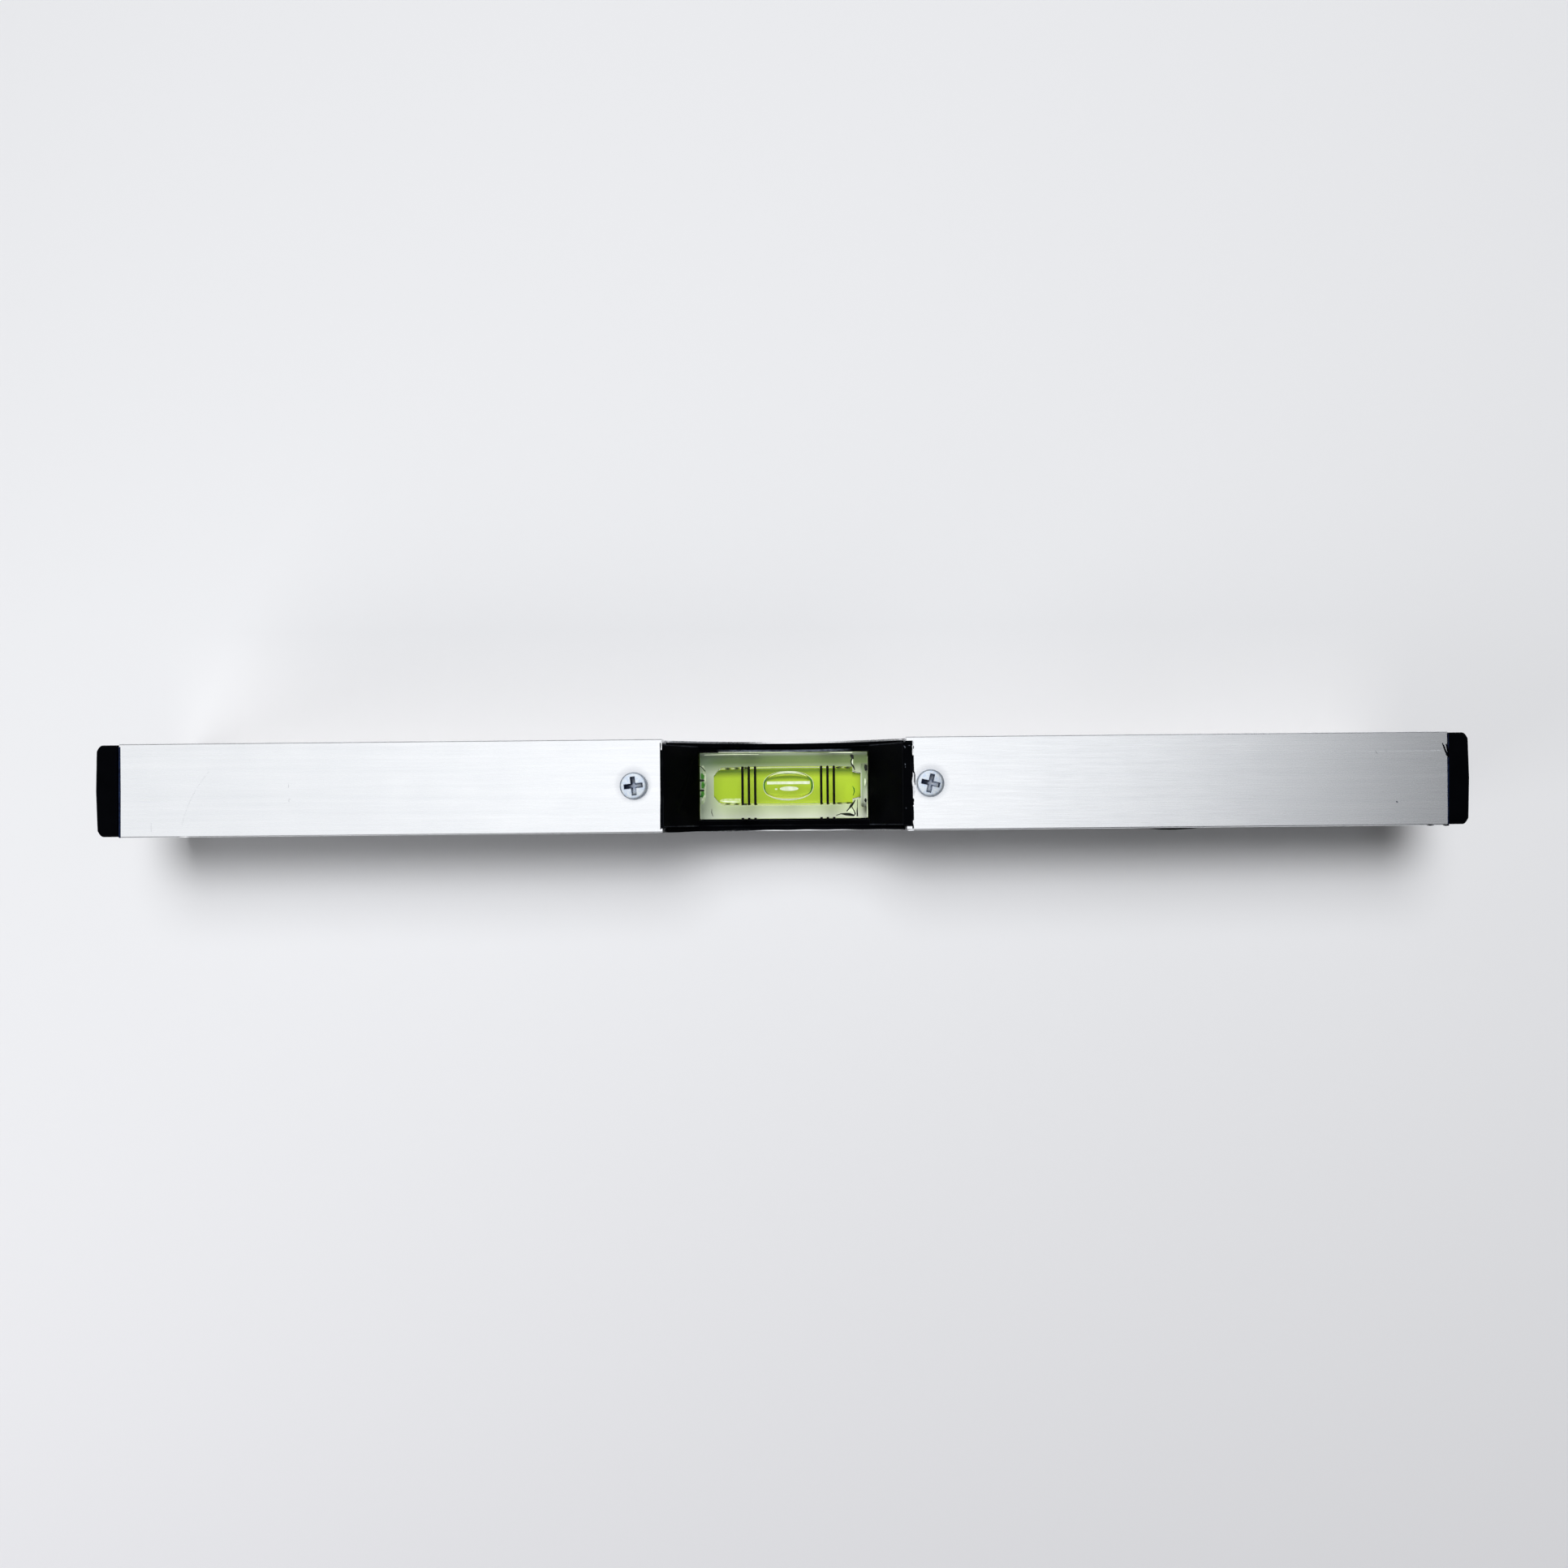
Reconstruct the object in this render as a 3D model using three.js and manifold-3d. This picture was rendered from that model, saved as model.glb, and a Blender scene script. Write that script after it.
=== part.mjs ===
// A magnetic spirit level. It stands on its base: a hollow box-section body with a cap in each end,
// a block vial in a window of the top wall, a plumb vial across the side walls, and magnets in the base.
// Millimetres. X runs along the level, Y across it and Z up. The origin is the middle of the footprint.
import * as THREE from "three";
import { mergeVertices } from "three/addons/utils/BufferGeometryUtils.js";
import Module from "manifold-3d";

// Body
const overallLength = 300;
const bodyWidth = 20.5;
const bodyHeight = 50;
const sideWall = 0.9;
const topWall = 1.4;
const baseWall = 2.4;
const outerEdgeRadius = 0.35;
const innerEdgeRadius = 0.6;

// End caps: a flange outside the body and a hollow plug inside it
const capFlange = 4.7;
const capInset = 0.2;
const capSeamLeft = 0.6;
const capSeamRight = 0.2;
const capCrown = 0.25;
const capChamferDepth = 0.9;
const capChamferWidth = 1.4;
const capCornerRadius = 1.2;
const capFaceEdge = 0.2;
const capPlugLength = 12;
const capPlugWall = 1.6;
const capPlugClearance = 0.2;

// Block vial: a clear block with a barrelled bore, open at its right end
const blockLength = 38;
const blockHeight = 15;
const blockTopDepth = 9.5;
const blockEdge = 0.3;
const boreRadius = 4.3;
const boreCrown = 0.25;
const boreEndWall = 2.9;
const boreChamferRun = 1.4;
const boreChamferDrop = 1.8;
const neckRadius = 3.2;
const neckLength = 3.5;
const vialPlugLength = 2.1;
const vialPlugClearance = 0.1;
const liquidGap = 0.2;

// Bubble of the block vial, and the slot in the liquid that it runs in
const bubbleLength = 11.4;
const bubbleWidth = 6.4;
const bubbleHeight = 2.9;
const bubbleRise = 2.3;
const bubbleGap = 0.3;
const bubbleStop = 1.2;

// Reading lines on the top, front and back faces of the block
const linesCentre = 1.1;
const innerLineSpacing = 14.8;
const linePitch = 1.42;
const lineWidth = 0.55;
const lineLength = 8.8;
const lineThickness = 0.1;
const lineSeat = 0.03;

// Holder of the block vial, under the top wall and between the side walls
const holderCentre = 0.1;
const holderClearance = 0.25;
const cheekThickness = 1.3;
const pocketClearance = 0.3;
const rampRun = 6.85;
const rampFootDrop = 2.1;
const rampWall = 2.1;
const padLeft = 0.35;
const padRight = 1.9;
const padDrop = 0.1;
const windowClearance = 0.3;
const wingThickness = 2.4;
const wingSeat = 0.3;
const wingBeyondScrew = 4.7;
const holderFloor = 1.8;
const bossRadius = 3.2;
const bossHeight = 6;
const cheekSkirt = 2;
const cheekBeyondNotch = 1.5;
const lipSetback = 0.45;
const lipSeat = 0.2;
const lipThickness = 0.8;
const ledgeWidth = 1.15;
const ledgeDrop = 1.2;

// Scoop in both side walls
const notchShoulderDepth = 8;
const notchAboveBlockBase = 4.5;
const notchBeyondRampLeft = 0.25;
const notchBeyondRampRight = 0.85;

// White plate under the block
const reflectorThickness = 0.8;
const reflectorSeat = 0.1;

// Screws of the holder: pan heads with a cross recess
const screwBeyondWindowLeft = 5.7;
const screwBeyondWindowRight = 3.75;
const screwHeadRadius = 3;
const screwHeadHeight = 1.8;
const screwRimHeight = 0.7;
const screwShankRadius = 1.45;
const screwShankLength = 8;
const screwTipLength = 1.4;
const screwSeat = 0.05;
const screwHoleClearance = 0.25;
const pilotClearance = 0.1;
const recessSpan = 4.1;
const recessWidth = 0.9;
const recessDepth = 1.2;
const screwTurnLeft = THREE.MathUtils.degToRad(6);
const screwTurnRight = THREE.MathUtils.degToRad(-13);

// Magnets in the base wall and their carriers
const magnetRadius = 6;
const magnetThickness = 5;
const magnetRecess = 0.1;
const magnetClearance = 0.2;
const magnetEdge = 0.4;
const carrierLength = 18;
const carrierRoof = 2.2;
const carrierSeat = 0.1;
const carrierClearance = 0.2;
const carrierBehindCap = 8;

// Housing of the plumb vial: two round shells that meet in the middle of the body
const plumbRadius = 15;
const plumbGap = 4.1;
const plumbProud = 0.05;
const plumbHoleClearance = 0.15;
const plumbShellSplit = 0.1;
const plumbRim = 2.6;
const plumbDish = 1.2;
const plumbWindowWidth = 13;
const plumbWindowHeight = 21;
const plumbWindowCorner = 2.5;
const plumbFrameBar = 0.9;
const plumbFrameBulge = 0.5;

// Plumb vial: an upright clear tube, closed at its top and plugged at its bottom
const plumbVialRadius = 5.5;
const plumbVialLength = 25;
const plumbVialClearance = 0.2;
const plumbVialEdge = 0.6;
const plumbBoreRadius = 4.2;
const plumbBoreRoof = 1.5;
const plumbPlugLength = 2;
const plumbPlugClearance = 0.1;
const plumbBubbleLength = 8;
const plumbBubbleRadius = 3.2;
const plumbLiquidFloor = 1.5;
const plumbLineGap = 0.35;
const plumbLineHeight = 0.6;

// Making: how far a cut runs past what it cuts, the weld distance, and the sides of round shapes
const cutOverrun = 1;
const joinOverlap = 0.5;
const weldDistance = 0.0001;
const scoopSteps = 32;
const barrelSteps = 6;
const domeSteps = 4;
const housingSides = 64;
const boreSides = 40;
const smallSides = 32;
const bubbleSides = 24;
const cornerSteps = 2;
const lineEndSteps = 1;

// Levels and places that follow from the sizes
const bodyTop = bodyHeight;
const halfWidth = bodyWidth / 2;
const innerHalf = halfWidth - sideWall;
const innerTop = bodyTop - topWall;
const holderHalf = innerHalf - holderClearance;
const pocketSide = holderHalf - cheekThickness;
const blockWidth = 2 * (pocketSide - pocketClearance);
const bodyLeft = -overallLength / 2 + capFlange + capSeamLeft;
const bodyRight = overallLength / 2 - capFlange - capSeamRight;

const blockTop = bodyTop - blockTopDepth;
const blockBase = blockTop - blockHeight;
const blockLeft = holderCentre - blockLength / 2;
const blockRight = holderCentre + blockLength / 2;
const vialHeight = blockBase + blockHeight / 2;
const boreLeft = blockLeft + boreEndWall;
const boreRight = blockRight - neckLength;
const bubbleLeftStop = boreLeft + bubbleStop;
const bubbleRightStop = boreRight - bubbleStop;

const pocketHalf = blockLength / 2 + pocketClearance;
const pocketFloor = blockBase - reflectorThickness - 2 * reflectorSeat;
const padTop = bodyTop - padDrop;
const rampFoot = blockTop - rampFootDrop;
const rampLeft = holderCentre - pocketHalf - rampRun;
const rampRight = holderCentre + pocketHalf + rampRun;
const windowLeft = rampLeft - padLeft - windowClearance;
const windowRight = rampRight + padRight + windowClearance;
const screwLeft = windowLeft - screwBeyondWindowLeft;
const screwRight = windowRight + screwBeyondWindowRight;
const wingTop = innerTop - wingSeat;
const wingBase = wingTop - wingThickness;

const notchLeft = rampLeft - notchBeyondRampLeft;
const notchRight = rampRight + notchBeyondRampRight;
const notchHalf = (notchRight - notchLeft) / 2;
const notchCentre = (notchRight + notchLeft) / 2;
const notchFloor = blockBase + notchAboveBlockBase;
const scoopRise = bodyTop - notchShoulderDepth - notchFloor;
const scoopRadius = (notchHalf ** 2 + scoopRise ** 2) / (2 * scoopRise);
const scoopHeight = notchFloor + scoopRadius;

const capPlugRight = bodyRight - capPlugLength;
const capPlugLeft = bodyLeft + capPlugLength;
const magnetRight = capPlugRight - carrierBehindCap - carrierLength / 2;
const magnetLeft = capPlugLeft + carrierBehindCap + carrierLength / 2;
const magnetTop = magnetRecess + magnetThickness;

const plumbX = magnetRight - carrierLength / 2 - plumbGap - plumbRadius;
const plumbHeight = bodyHeight / 2;
const plumbFace = halfWidth + plumbProud;
const plumbVialBase = plumbHeight - plumbVialLength / 2;
const plumbVialTop = plumbHeight + plumbVialLength / 2;
const plumbLiquidBase = plumbVialBase + plumbPlugLength + plumbPlugClearance;
const plumbLiquidTop = plumbVialTop - plumbBoreRoof - plumbPlugClearance;
const plumbSlotFloor = plumbLiquidBase + plumbLiquidFloor;

const wasm = await Module();
wasm.setup();

const axisX = new THREE.Vector3(1, 0, 0);
const axisY = new THREE.Vector3(0, 1, 0);
const axisZ = new THREE.Vector3(0, 0, 1);

// Turn an outline drawn in X and Y, with its depth along Z, to stand in the plane that a piece needs
const standAcross = new THREE.Matrix4().makeBasis(axisX, axisZ, axisY.clone().negate());
const standAlong = new THREE.Matrix4().makeBasis(axisY, axisZ, axisX);

// Lay a lathed shape across the level, as it is made, or turn it to X or to Z
const layAcross = new THREE.Matrix4();
const layAlongX = new THREE.Matrix4().makeRotationZ(-Math.PI / 2);
const standAlongZ = new THREE.Matrix4().makeRotationX(Math.PI / 2);

function toSolid(geometry) {
  const bare = geometry.clone();
  bare.deleteAttribute("normal");
  bare.deleteAttribute("uv");
  const welded = mergeVertices(bare, weldDistance);
  const shell = new wasm.Mesh({
    numProp: 3,
    vertProperties: welded.attributes.position.array,
    triVerts: new Uint32Array(welded.index.array),
  });
  return new wasm.Manifold(shell);
}

function toGeometry(solid) {
  const shell = solid.getMesh();
  const geometry = new THREE.BufferGeometry();
  geometry.setAttribute("position", new THREE.BufferAttribute(shell.vertProperties, 3));
  geometry.setIndex(new THREE.BufferAttribute(shell.triVerts, 1));
  return geometry;
}

// A box between two values on each axis
function slab(xFrom, xTo, yFrom, yTo, zFrom, zTo) {
  const box = new THREE.BoxGeometry(xTo - xFrom, yTo - yFrom, zTo - zFrom);
  box.translate((xFrom + xTo) / 2, (yFrom + yTo) / 2, (zFrom + zTo) / 2);
  return toSolid(box);
}

function extruded(outline, depth, curveSegments = cornerSteps) {
  return new THREE.ExtrudeGeometry(outline, { depth, bevelEnabled: false, curveSegments });
}

// Prisms of an outline in X and Z, in Y and Z, and in X and Y
function prismAcross(outline, yFrom, yTo, steps) {
  return toSolid(extruded(outline, yTo - yFrom, steps).applyMatrix4(standAcross).translate(0, yTo, 0));
}

function prismAlong(outline, xFrom, xTo) {
  return toSolid(extruded(outline, xTo - xFrom).applyMatrix4(standAlong).translate(xFrom, 0, 0));
}

function prismUp(outline, zFrom, zTo, steps) {
  return toSolid(extruded(outline, zTo - zFrom, steps).translate(0, 0, zFrom));
}

// A solid of revolution from points of radius and place along the axis, in rising order
function turned(points, sides, matrix) {
  const profile = points.map(([radius, place]) => new THREE.Vector2(radius, place));
  return toSolid(new THREE.LatheGeometry(profile, sides).applyMatrix4(matrix));
}

function rod(radius, from, to, sides, matrix) {
  return turned([[0, from], [radius, from], [radius, to], [0, to]], sides, matrix);
}

function moved(solid, x, y, z) {
  return solid.translate(x, y, z);
}

function polygon(points) {
  return new THREE.Shape(points.map(([x, y]) => new THREE.Vector2(x, y)));
}

function roundedRectangle(width, height, radius, centreX = 0, centreY = 0) {
  const left = centreX - width / 2;
  const right = centreX + width / 2;
  const low = centreY - height / 2;
  const high = centreY + height / 2;
  const outline = new THREE.Shape();
  outline.absarc(right - radius, low + radius, radius, -Math.PI / 2, 0);
  outline.absarc(right - radius, high - radius, radius, 0, Math.PI / 2);
  outline.absarc(left + radius, high - radius, radius, Math.PI / 2, Math.PI);
  outline.absarc(left + radius, low + radius, radius, Math.PI, (3 * Math.PI) / 2);
  return outline;
}

// A bar with round ends, its length along the outline's second axis
function roundBar(width, length) {
  return roundedRectangle(width, length, width / 2);
}

// Points of the scoop's arc from its left shoulder to its right one, raised evenly by a distance
function scoopArc(raise) {
  const radius = scoopRadius - raise;
  const reach = Math.asin((notchHalf - raise) / radius);
  return Array.from({ length: scoopSteps + 1 }, (_, step) => {
    const angle = -reach + (2 * reach * step) / scoopSteps;
    return [notchCentre + radius * Math.sin(angle), scoopHeight - radius * Math.cos(angle)];
  });
}

// Everything above the scoop, closed straight up from its shoulders
function notchOutline() {
  const top = bodyTop + cutOverrun;
  return polygon([...scoopArc(0), [notchRight, top], [notchLeft, top]]);
}

// Everything above the raised scoop, also beyond its shoulders
function aboveScoop(raise) {
  const arc = scoopArc(raise);
  const [, shoulder] = arc[0];
  const left = windowLeft - cutOverrun;
  const right = windowRight + cutOverrun;
  const top = bodyTop + cutOverrun;
  return polygon([...arc, [right, shoulder], [right, top], [left, top], [left, shoulder]]);
}

// The space between the two ramps and straight down from their feet
function betweenRamps() {
  const top = bodyTop + cutOverrun;
  const left = holderCentre - pocketHalf;
  const right = holderCentre + pocketHalf;
  const mouthRight = [[right, rampFoot], [rampRight, padTop], [rampRight, top]];
  const mouthLeft = [[rampLeft, top], [rampLeft, padTop], [left, rampFoot]];
  return polygon([[left, pocketFloor], [right, pocketFloor], ...mouthRight, ...mouthLeft]);
}

function makeBody() {
  const innerHeight = innerTop - baseWall;
  const innerMiddle = baseWall + innerHeight / 2;
  const section = roundedRectangle(bodyWidth, bodyHeight, outerEdgeRadius, 0, bodyHeight / 2);
  section.holes.push(roundedRectangle(2 * innerHalf, innerHeight, innerEdgeRadius, 0, innerMiddle));
  const window = slab(
    windowLeft, windowRight, -innerHalf, innerHalf, innerTop - cutOverrun, bodyTop + cutOverrun,
  );
  const notch = prismAcross(notchOutline(), -bodyWidth, bodyWidth);
  let body = prismAlong(section, bodyLeft, bodyRight).subtract(window).subtract(notch);
  const screwHole = rod(
    screwShankRadius + screwHoleClearance, innerTop - cutOverrun, bodyTop + cutOverrun,
    smallSides, standAlongZ,
  );
  for (const x of [screwLeft, screwRight]) body = body.subtract(moved(screwHole, x, 0, 0));
  const magnetHole = rod(
    magnetRadius + magnetClearance, -cutOverrun, baseWall + cutOverrun, smallSides, standAlongZ,
  );
  for (const x of [magnetLeft, magnetRight]) body = body.subtract(moved(magnetHole, x, 0, 0));
  const plumbHole = rod(
    plumbRadius + plumbHoleClearance, -bodyWidth, bodyWidth, housingSides, layAcross,
  );
  return body.subtract(moved(plumbHole, plumbX, 0, plumbHeight));
}

// A cap for the right end, with its seat against the body at x = 0
function makeEndCap() {
  const width = bodyWidth - 2 * capInset;
  const height = bodyHeight - 2 * capInset;
  const shoulder = capFlange - capChamferDepth;
  const rim = capFlange - capCrown;
  const above = new THREE.Shape();
  above.moveTo(0, -width / 2);
  above.lineTo(shoulder, -width / 2);
  above.lineTo(rim, -width / 2 + capChamferWidth);
  above.quadraticCurveTo(capFlange + capCrown, 0, rim, width / 2 - capChamferWidth);
  above.lineTo(shoulder, width / 2);
  above.lineTo(0, width / 2);
  const beside = new THREE.Shape();
  beside.moveTo(0, -height / 2);
  beside.lineTo(capFlange - capFaceEdge, -height / 2);
  beside.lineTo(capFlange, -height / 2 + capFaceEdge);
  beside.lineTo(capFlange, height / 2 - capFaceEdge);
  beside.lineTo(capFlange - capFaceEdge, height / 2);
  beside.lineTo(0, height / 2);
  const plan = prismUp(above, 0, bodyHeight);
  const side = moved(prismAcross(beside, -halfWidth, halfWidth), 0, 0, bodyHeight / 2);
  const face = prismAlong(
    roundedRectangle(width, height, capCornerRadius, 0, bodyHeight / 2), -cutOverrun, capFlange + cutOverrun,
  );
  const flange = plan.intersect(side).intersect(face);
  const plugWidth = 2 * (innerHalf - capPlugClearance);
  const plugLow = baseWall + capPlugClearance;
  const plugHigh = innerTop - capPlugClearance;
  const plugHeight = plugHigh - plugLow;
  const plugMiddle = (plugLow + plugHigh) / 2;
  const hollowWidth = plugWidth - 2 * capPlugWall;
  const hollowHeight = plugHeight - 2 * capPlugWall;
  const plug = prismAlong(
    roundedRectangle(plugWidth, plugHeight, innerEdgeRadius, 0, plugMiddle), -capPlugLength, joinOverlap,
  );
  const hollow = prismAlong(
    roundedRectangle(hollowWidth, hollowHeight, innerEdgeRadius, 0, plugMiddle),
    -capPlugLength - cutOverrun, 0,
  );
  return flange.add(plug.subtract(hollow));
}

// Plates that follow the scoop on the inner faces of the side walls and close the ramps' sides
function makeCheeks() {
  const region = prismAcross(aboveScoop(-cheekSkirt), -holderHalf, holderHalf).intersect(slab(
    notchLeft - cheekBeyondNotch, notchRight + cheekBeyondNotch,
    -holderHalf, holderHalf, pocketFloor, wingBase + joinOverlap,
  ));
  const between = slab(
    windowLeft - bodyWidth, windowRight + bodyWidth, -pocketSide, pocketSide, pocketFloor, bodyTop,
  );
  return region.subtract(between);
}

function makeHolder() {
  const tubLeft = holderCentre - pocketHalf - rampWall;
  const tubRight = holderCentre + pocketHalf + rampWall;
  const tubBase = pocketFloor - holderFloor;
  const slope = (rampRun * (wingBase - rampFoot)) / (padTop - rampFoot);
  const wingLeft = screwLeft - wingBeyondScrew;
  const wingRight = screwRight + wingBeyondScrew;
  const side = polygon([
    [tubLeft, tubBase],
    [tubRight, tubBase],
    [tubRight, rampFoot],
    [tubRight + slope, wingBase],
    [wingRight, wingBase],
    [wingRight, wingTop],
    [rampRight + padRight, wingTop],
    [rampRight + padRight, padTop],
    [rampLeft - padLeft, padTop],
    [rampLeft - padLeft, wingTop],
    [wingLeft, wingTop],
    [wingLeft, wingBase],
    [tubLeft - slope, wingBase],
    [tubLeft, rampFoot],
  ]);
  const lipBand = polygon([...scoopArc(lipSeat), ...scoopArc(lipSeat + lipThickness).reverse()]);
  const lipHalf = halfWidth - lipSetback;
  const ledgeHalf = pocketSide + ledgeWidth;
  const boss = rod(bossRadius, wingBase - bossHeight, wingBase + joinOverlap, smallSides, standAlongZ);
  const pilot = rod(
    screwShankRadius + pilotClearance, wingBase - bossHeight - cutOverrun, wingTop + cutOverrun,
    smallSides, standAlongZ,
  );
  const ramps = (half) => prismAcross(betweenRamps(), -half, half);
  const opening = ramps(bodyWidth).intersect(
    prismAcross(aboveScoop(lipSeat + lipThickness), -bodyWidth, bodyWidth),
  );
  const ledge = ramps(ledgeHalf).intersect(
    prismAcross(aboveScoop(lipSeat + lipThickness - ledgeDrop), -ledgeHalf, ledgeHalf),
  );
  let holder = prismAcross(side, -holderHalf, holderHalf).add(makeCheeks());
  holder = holder.add(prismAcross(lipBand, -lipHalf, lipHalf));
  for (const x of [screwLeft, screwRight]) holder = holder.add(moved(boss, x, 0, 0));
  for (const x of [screwLeft, screwRight]) holder = holder.subtract(moved(pilot, x, 0, 0));
  return holder.subtract(opening).subtract(ledge).subtract(ramps(pocketSide));
}

function makeReflector() {
  const half = blockLength / 2;
  const low = pocketFloor + reflectorSeat;
  return slab(
    holderCentre - half, holderCentre + half, -blockWidth / 2, blockWidth / 2, low, low + reflectorThickness,
  );
}

// Profile of the vial's bore, drawn in by a gap all round, up to a place in the neck
function boreProfile(gap, neckEnd) {
  const halfBore = (boreRight - boreLeft) / 2;
  const radiusAt = (x) => boreRadius - boreCrown * ((x - linesCentre) / halfBore) ** 2 - gap;
  const barrelLeft = boreLeft + boreChamferRun;
  const barrelRight = boreRight - gap;
  const barrel = Array.from({ length: barrelSteps + 1 }, (_, step) => {
    const x = barrelLeft + ((barrelRight - barrelLeft) * step) / barrelSteps;
    return [radiusAt(x), x];
  });
  const left = [[0, boreLeft + gap], [radiusAt(boreLeft) - boreChamferDrop, boreLeft + gap]];
  const neck = [[neckRadius - gap, barrelRight], [neckRadius - gap, neckEnd], [0, neckEnd]];
  return [...left, ...barrel, ...neck];
}

function makeBlock() {
  const outline = roundedRectangle(blockWidth, blockHeight, blockEdge, 0, vialHeight);
  const bore = turned(boreProfile(0, blockRight + cutOverrun), boreSides, layAlongX);
  return prismAlong(outline, blockLeft, blockRight).subtract(moved(bore, 0, 0, vialHeight));
}

function makeVialPlug() {
  const plug = rod(
    neckRadius - vialPlugClearance, blockRight - vialPlugLength, blockRight, smallSides, layAlongX,
  );
  return moved(plug, 0, 0, vialHeight);
}

// The liquid, with a slot along its top that the bubble runs in
function makeLiquid() {
  const neckEnd = blockRight - vialPlugLength - liquidGap;
  const filling = turned(boreProfile(liquidGap, neckEnd), boreSides, layAlongX);
  const slotWidth = bubbleWidth + 2 * bubbleGap;
  const slotLeft = bubbleLeftStop - bubbleGap;
  const slotRight = bubbleRightStop + bubbleGap;
  const slotFloor = bubbleRise - bubbleHeight / 2 - bubbleGap;
  const outline = roundedRectangle(
    slotRight - slotLeft, slotWidth, slotWidth / 2, (slotLeft + slotRight) / 2,
  );
  const slot = prismUp(outline, slotFloor, boreRadius + cutOverrun);
  return moved(filling.subtract(slot), 0, 0, vialHeight);
}

// A bubble round the origin, its length along X
function makeBubble() {
  const ball = new THREE.SphereGeometry(bubbleWidth / 2, bubbleSides, bubbleSides / 2);
  ball.scale(bubbleLength / bubbleWidth, 1, bubbleHeight / bubbleWidth);
  return toSolid(ball);
}

function makeScrew() {
  const dome = Array.from({ length: domeSteps + 1 }, (_, step) => {
    const angle = (Math.PI * step) / (2 * domeSteps);
    const rise = (screwHeadHeight - screwRimHeight) * Math.sin(angle);
    return [screwHeadRadius * Math.cos(angle), screwRimHeight + rise];
  });
  dome[domeSteps][0] = 0;
  const shank = [
    [0, -screwShankLength],
    [screwShankRadius, screwTipLength - screwShankLength],
    [screwShankRadius, 0],
    [screwHeadRadius, 0],
  ];
  const screw = turned([...shank, ...dome], smallSides, standAlongZ);
  const arm = (length, width) => slab(
    -length / 2, length / 2, -width / 2, width / 2, screwHeadHeight - recessDepth, screwHeadHeight + cutOverrun,
  );
  return screw.subtract(arm(recessSpan, recessWidth)).subtract(arm(recessWidth, recessSpan));
}

// A disc magnet with its lower face at z = 0
function makeMagnet() {
  const profile = [
    [0, 0],
    [magnetRadius - magnetEdge, 0],
    [magnetRadius, magnetEdge],
    [magnetRadius, magnetThickness - magnetEdge],
    [magnetRadius - magnetEdge, magnetThickness],
    [0, magnetThickness],
  ];
  return turned(profile, smallSides, standAlongZ);
}

// A carrier round the magnet's upper part, on the inner face of the base wall
function makeCarrier() {
  const low = baseWall + carrierSeat;
  const pocketTop = magnetTop + magnetClearance;
  const width = 2 * (innerHalf - carrierClearance);
  const height = pocketTop + carrierRoof - low;
  const section = roundedRectangle(width, height, innerEdgeRadius, 0, low + height / 2);
  const carrier = prismAlong(section, -carrierLength / 2, carrierLength / 2);
  return carrier.subtract(rod(magnetRadius + magnetClearance, 0, pocketTop, smallSides, standAlongZ));
}

// The front shell of the plumb vial's housing, its centre at the origin and its face towards -Y.
// A frame round its window stands proud of the face, in a bow whose middle is highest.
function makePlumbShell() {
  const profile = [
    [0, -plumbFace],
    [plumbRadius - plumbProud, -plumbFace],
    [plumbRadius, -halfWidth],
    [plumbRadius, -plumbShellSplit / 2],
    [0, -plumbShellSplit / 2],
  ];
  const dish = rod(
    plumbRadius - plumbRim, -plumbFace - cutOverrun, plumbDish - plumbFace, housingSides, layAcross,
  );
  const window = prismAcross(
    roundedRectangle(plumbWindowWidth, plumbWindowHeight, plumbWindowCorner), -bodyWidth, bodyWidth,
  );
  const frameHalf = plumbWindowWidth / 2 + plumbFrameBar;
  const frameTop = plumbWindowHeight / 2 + plumbFrameBar;
  const frameRoot = plumbDish - plumbFace + joinOverlap;
  const bow = new THREE.Shape();
  bow.moveTo(-frameHalf, -plumbFace);
  bow.quadraticCurveTo(0, -plumbFace - 2 * plumbFrameBulge, frameHalf, -plumbFace);
  bow.lineTo(frameHalf, frameRoot);
  bow.lineTo(-frameHalf, frameRoot);
  const frame = prismUp(bow, -frameTop, frameTop, barrelSteps);
  const seatEnd = plumbVialLength / 2 + plumbVialClearance;
  const seat = rod(plumbVialRadius + plumbVialClearance, -seatEnd, seatEnd, smallSides, standAlongZ);
  const disc = turned(profile, housingSides, layAcross).subtract(dish);
  return disc.add(frame).subtract(window).subtract(seat);
}

function makePlumbVial() {
  const profile = [
    [0, plumbVialBase],
    [plumbVialRadius, plumbVialBase],
    [plumbVialRadius, plumbVialTop - plumbVialEdge],
    [plumbVialRadius - plumbVialEdge, plumbVialTop],
    [0, plumbVialTop],
  ];
  const bore = rod(
    plumbBoreRadius, plumbVialBase - cutOverrun, plumbVialTop - plumbBoreRoof, smallSides, standAlongZ,
  );
  return turned(profile, smallSides, standAlongZ).subtract(bore);
}

function makePlumbPlug() {
  const radius = plumbBoreRadius - plumbPlugClearance;
  return rod(radius, plumbVialBase, plumbVialBase + plumbPlugLength, smallSides, standAlongZ);
}

function makePlumbLiquid() {
  const filling = rod(
    plumbBoreRadius - liquidGap, plumbLiquidBase, plumbLiquidTop, smallSides, standAlongZ,
  );
  const slot = rod(
    plumbBubbleRadius + bubbleGap, plumbSlotFloor, plumbLiquidTop + cutOverrun, smallSides, standAlongZ,
  );
  return filling.subtract(slot);
}

function makePlumbBubble() {
  const ball = new THREE.SphereGeometry(plumbBubbleRadius, bubbleSides, bubbleSides / 2);
  ball.applyMatrix4(standAlongZ).scale(1, 1, plumbBubbleLength / (2 * plumbBubbleRadius));
  return toSolid(ball);
}

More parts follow.
